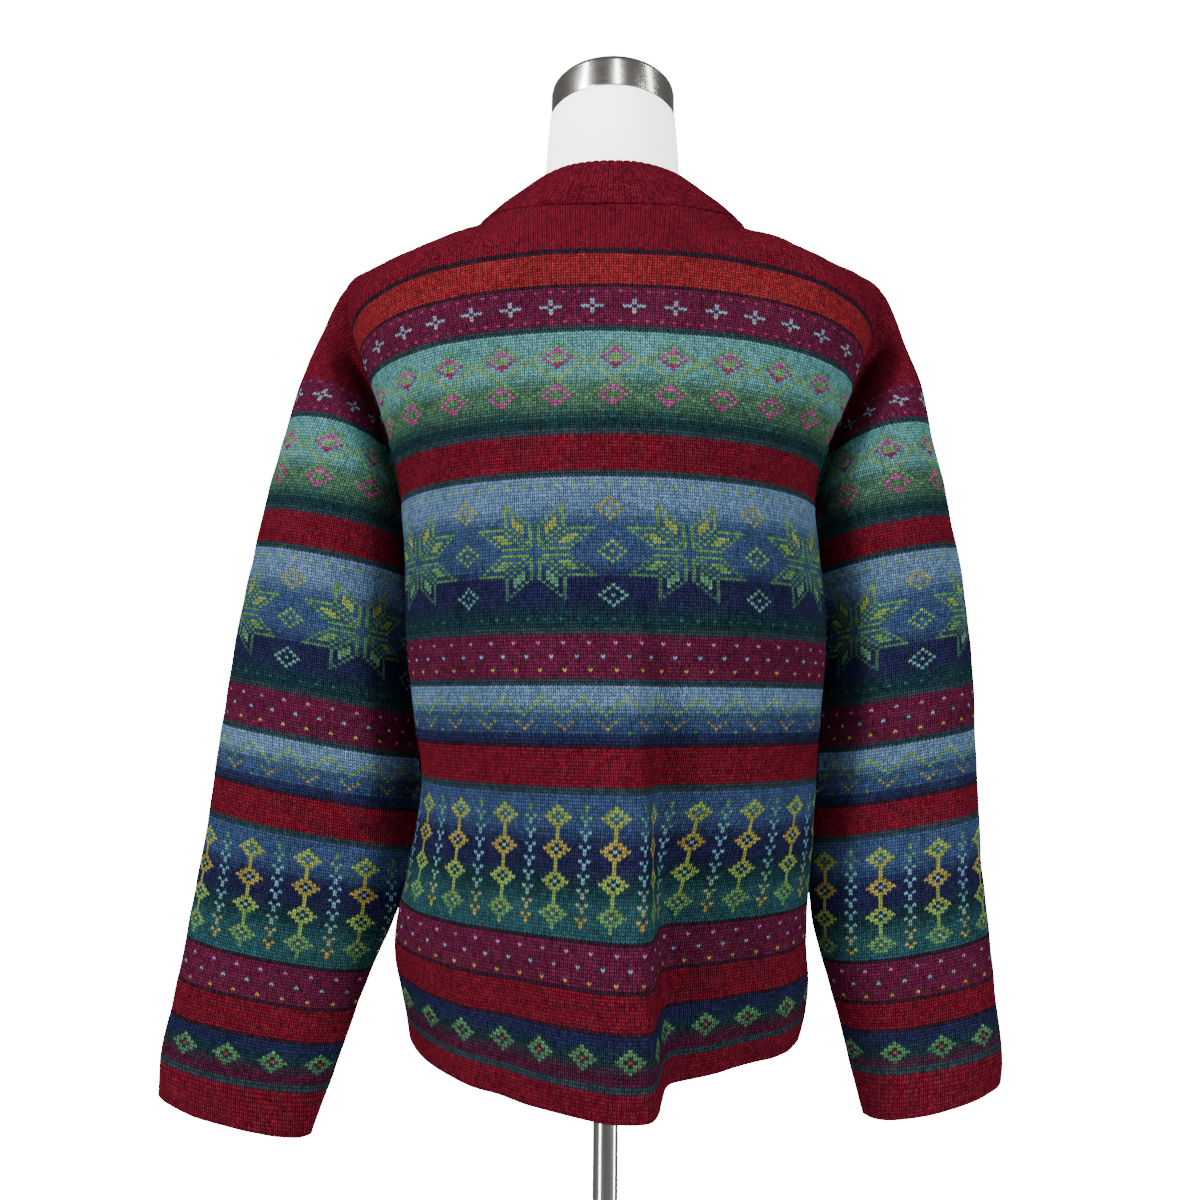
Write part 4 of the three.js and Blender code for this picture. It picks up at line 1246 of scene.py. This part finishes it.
for side, name in ((1, "Left"), (-1, "Right")):
    redPanel("side" + name, "side_" + name.lower(), sidePanel["size"], lambda u, v: sidePoint(side, u, v),
             "hung", ["backPanel"], coarse=(2, 11))
    obj, p = makeSleeve("sleeve" + name, side, patternedWool)
    declare(obj, "sleeve_" + name.lower(), cutOf(p))
redPanel("neckbandKnit", "neckband", neckband["size"], neckbandPoint, "gathered", ["backPanel"],
         neckband["shade"], np.array([0, 0, 1400.0]), coarse=(4, 3), relief=0.35)
for side, name in ((1, "Left"), (-1, "Right")):
    redPanel("band" + name, "band_" + name.lower(), buttonBand["sizes"][side],
             lambda u, v: buttonBandPoint(side, u, v), "hung", ["frontLeftPanel"], buttonBand["shade"],
             coarse=(2, 6), relief=0.3)

for i in range(button["count"]):
    share = button["top"] + (button["low"] - button["top"]) * i / (button["count"] - 1)
    at, above, below = (buttonBandPoint(-1, np.array([0.5]), np.array([share + step]))[0] / 1000
                        for step in (0, 0.01, -0.01))
    lean = math.atan2(above[1] - below[1], above[2] - below[2])
    lift = button["lift"] + button["thick"] / 2
    spot = Vector((0, at[1] - lift * math.cos(lean), at[2] + lift * math.sin(lean)))
    place = Matrix.Translation(spot) @ Matrix.Rotation(-lean, 4, "X") @ Matrix.Rotation(math.pi / 2, 4, "X")
    obj = makeButton(f"button{i + 1}", place, [plum, thread])
    declare(obj, f"button_{i + 1}", None)

for name, node, profile, material, slot in (("neckCap", "neck_cap", capProfile, nickel, "nickel"),
                                            ("pole", "pole", poleProfile, steel, "steel"),
                                            ("foot", "stand_base", footProfile, steel, "steel")):
    obj = lathe(name, [(r / 1000, z / 1000) for r, z in profile], 160, material)
    declare(obj, node, None)
print("pieces made")


# floor, light and camera
def seenBy(tree, light, seen, mirrored=None):
    # one value for light, another for what the camera sees, and a third for what metal mirrors
    path = tree.nodes.new("ShaderNodeLightPath")
    value = combine(tree, "MULTIPLY_ADD", path.outputs["Is Camera Ray"], seen - light, light)
    if mirrored is None:
        return value
    return combine(tree, "MULTIPLY_ADD", path.outputs["Is Glossy Ray"], mirrored - light, value)


def stageFloor():
    mesh = bpy.data.meshes.new("floor")
    bm = bmesh.new()
    bmesh.ops.create_grid(bm, x_segments=2, y_segments=2, size=12)
    bm.to_mesh(mesh)
    bm.free()
    material, tree, shader = newMaterial("paleFloor")
    path = tree.nodes.new("ShaderNodeLightPath")
    # metal mirrors a dim floor
    pale = combine(tree, "MULTIPLY_ADD", path.outputs["Is Glossy Ray"], -0.82, 0.9)
    feed(tree, shader, {"Base Color": pale, "Roughness": 0.9, "Specular IOR Level": 0.1,
                        "Emission Color": (1, 1, 1, 1), "Emission Strength": seenBy(tree, 0.0, 16.0)})
    mesh.materials.append(material)
    obj = bpy.data.objects.new("floor", mesh)
    bpy.context.scene.collection.objects.link(obj)


stageFloor()


def areaLight(name, place, target, size, power):
    light = bpy.data.lights.new(name, "AREA")
    light.shape, light.energy = "RECTANGLE", power
    light.size, light.size_y = size
    obj = bpy.data.objects.new(name, light)
    obj.location = place
    obj.rotation_euler = (Vector(target) - Vector(place)).to_track_quat("-Z", "Y").to_euler()
    bpy.context.scene.collection.objects.link(obj)
    return obj


# two tall softboxes either side of the camera, one above, and one for the front
lights = dict(key=((2.1, 1.45, 1.9), (0.42, 2.4), 215), fill=((-2.1, 1.55, 1.6), (0.36, 2.4), 152),
              top=((0.3, 1.0, 3.0), (2.0, 1.2), 110), front=((0.3, -2.8, 1.9), (2.4, 1.6), 140))
# narrow strips that only the polished metal mirrors: turn from the camera in degrees, distance,
# height, size and power
strips = dict(capLeft=(55.7, 2.4, 3.1, (0.15, 1.6), 60), capMiddle=(-7.6, 2.4, 3.1, (0.15, 1.6), 40),
              capRight=(-73.7, 2.4, 3.1, (0.16, 1.6), 26), poleLeft=(50.8, 1.0, 0.22, (0.16, 0.5), 16),
              poleRight=(-91, 1.0, 0.22, (0.20, 0.5), 12))
for name, (place, size, power) in lights.items():
    areaLight(name, place, (0, 0, 1.1), size, power).visible_glossy = name != "top"
for name, (turn, away, height, size, power) in strips.items():
    x, y = away * math.sin(math.radians(turn)), away * math.cos(math.radians(turn))
    strip = areaLight(name, (x, y, height), (0, 0, 1.5 if height > 1 else 0.6), size, power)
    strip.visible_diffuse = False
world = bpy.data.worlds.new("studio")
bpy.context.scene.world = world
world.use_nodes = True
backing = dict(light=0.55, seen=16.0, mirrored=0.16)    # the white surround, as light and as it is seen
feed(world.node_tree, world.node_tree.nodes["Background"],
     {"Color": (1, 1, 1, 1), "Strength": seenBy(world.node_tree, **backing)})

shot = dict(place=(0.0075, 0.766, 1.000), pitch=6.9, roll=0.48, lens=28.5)
camera = bpy.data.cameras.new("camera")
camera.lens, camera.sensor_width = shot["lens"], 36
cameraObject = bpy.data.objects.new("camera", camera)
cameraObject.matrix_world = (Matrix.Translation(shot["place"]) @ Matrix.Rotation(math.pi, 4, "Z")
                             @ Matrix.Rotation(math.pi / 2 + math.radians(shot["pitch"]), 4, "X")
                             @ Matrix.Rotation(math.radians(shot["roll"]), 4, "Z"))
bpy.context.scene.collection.objects.link(cameraObject)
bpy.context.scene.camera = cameraObject
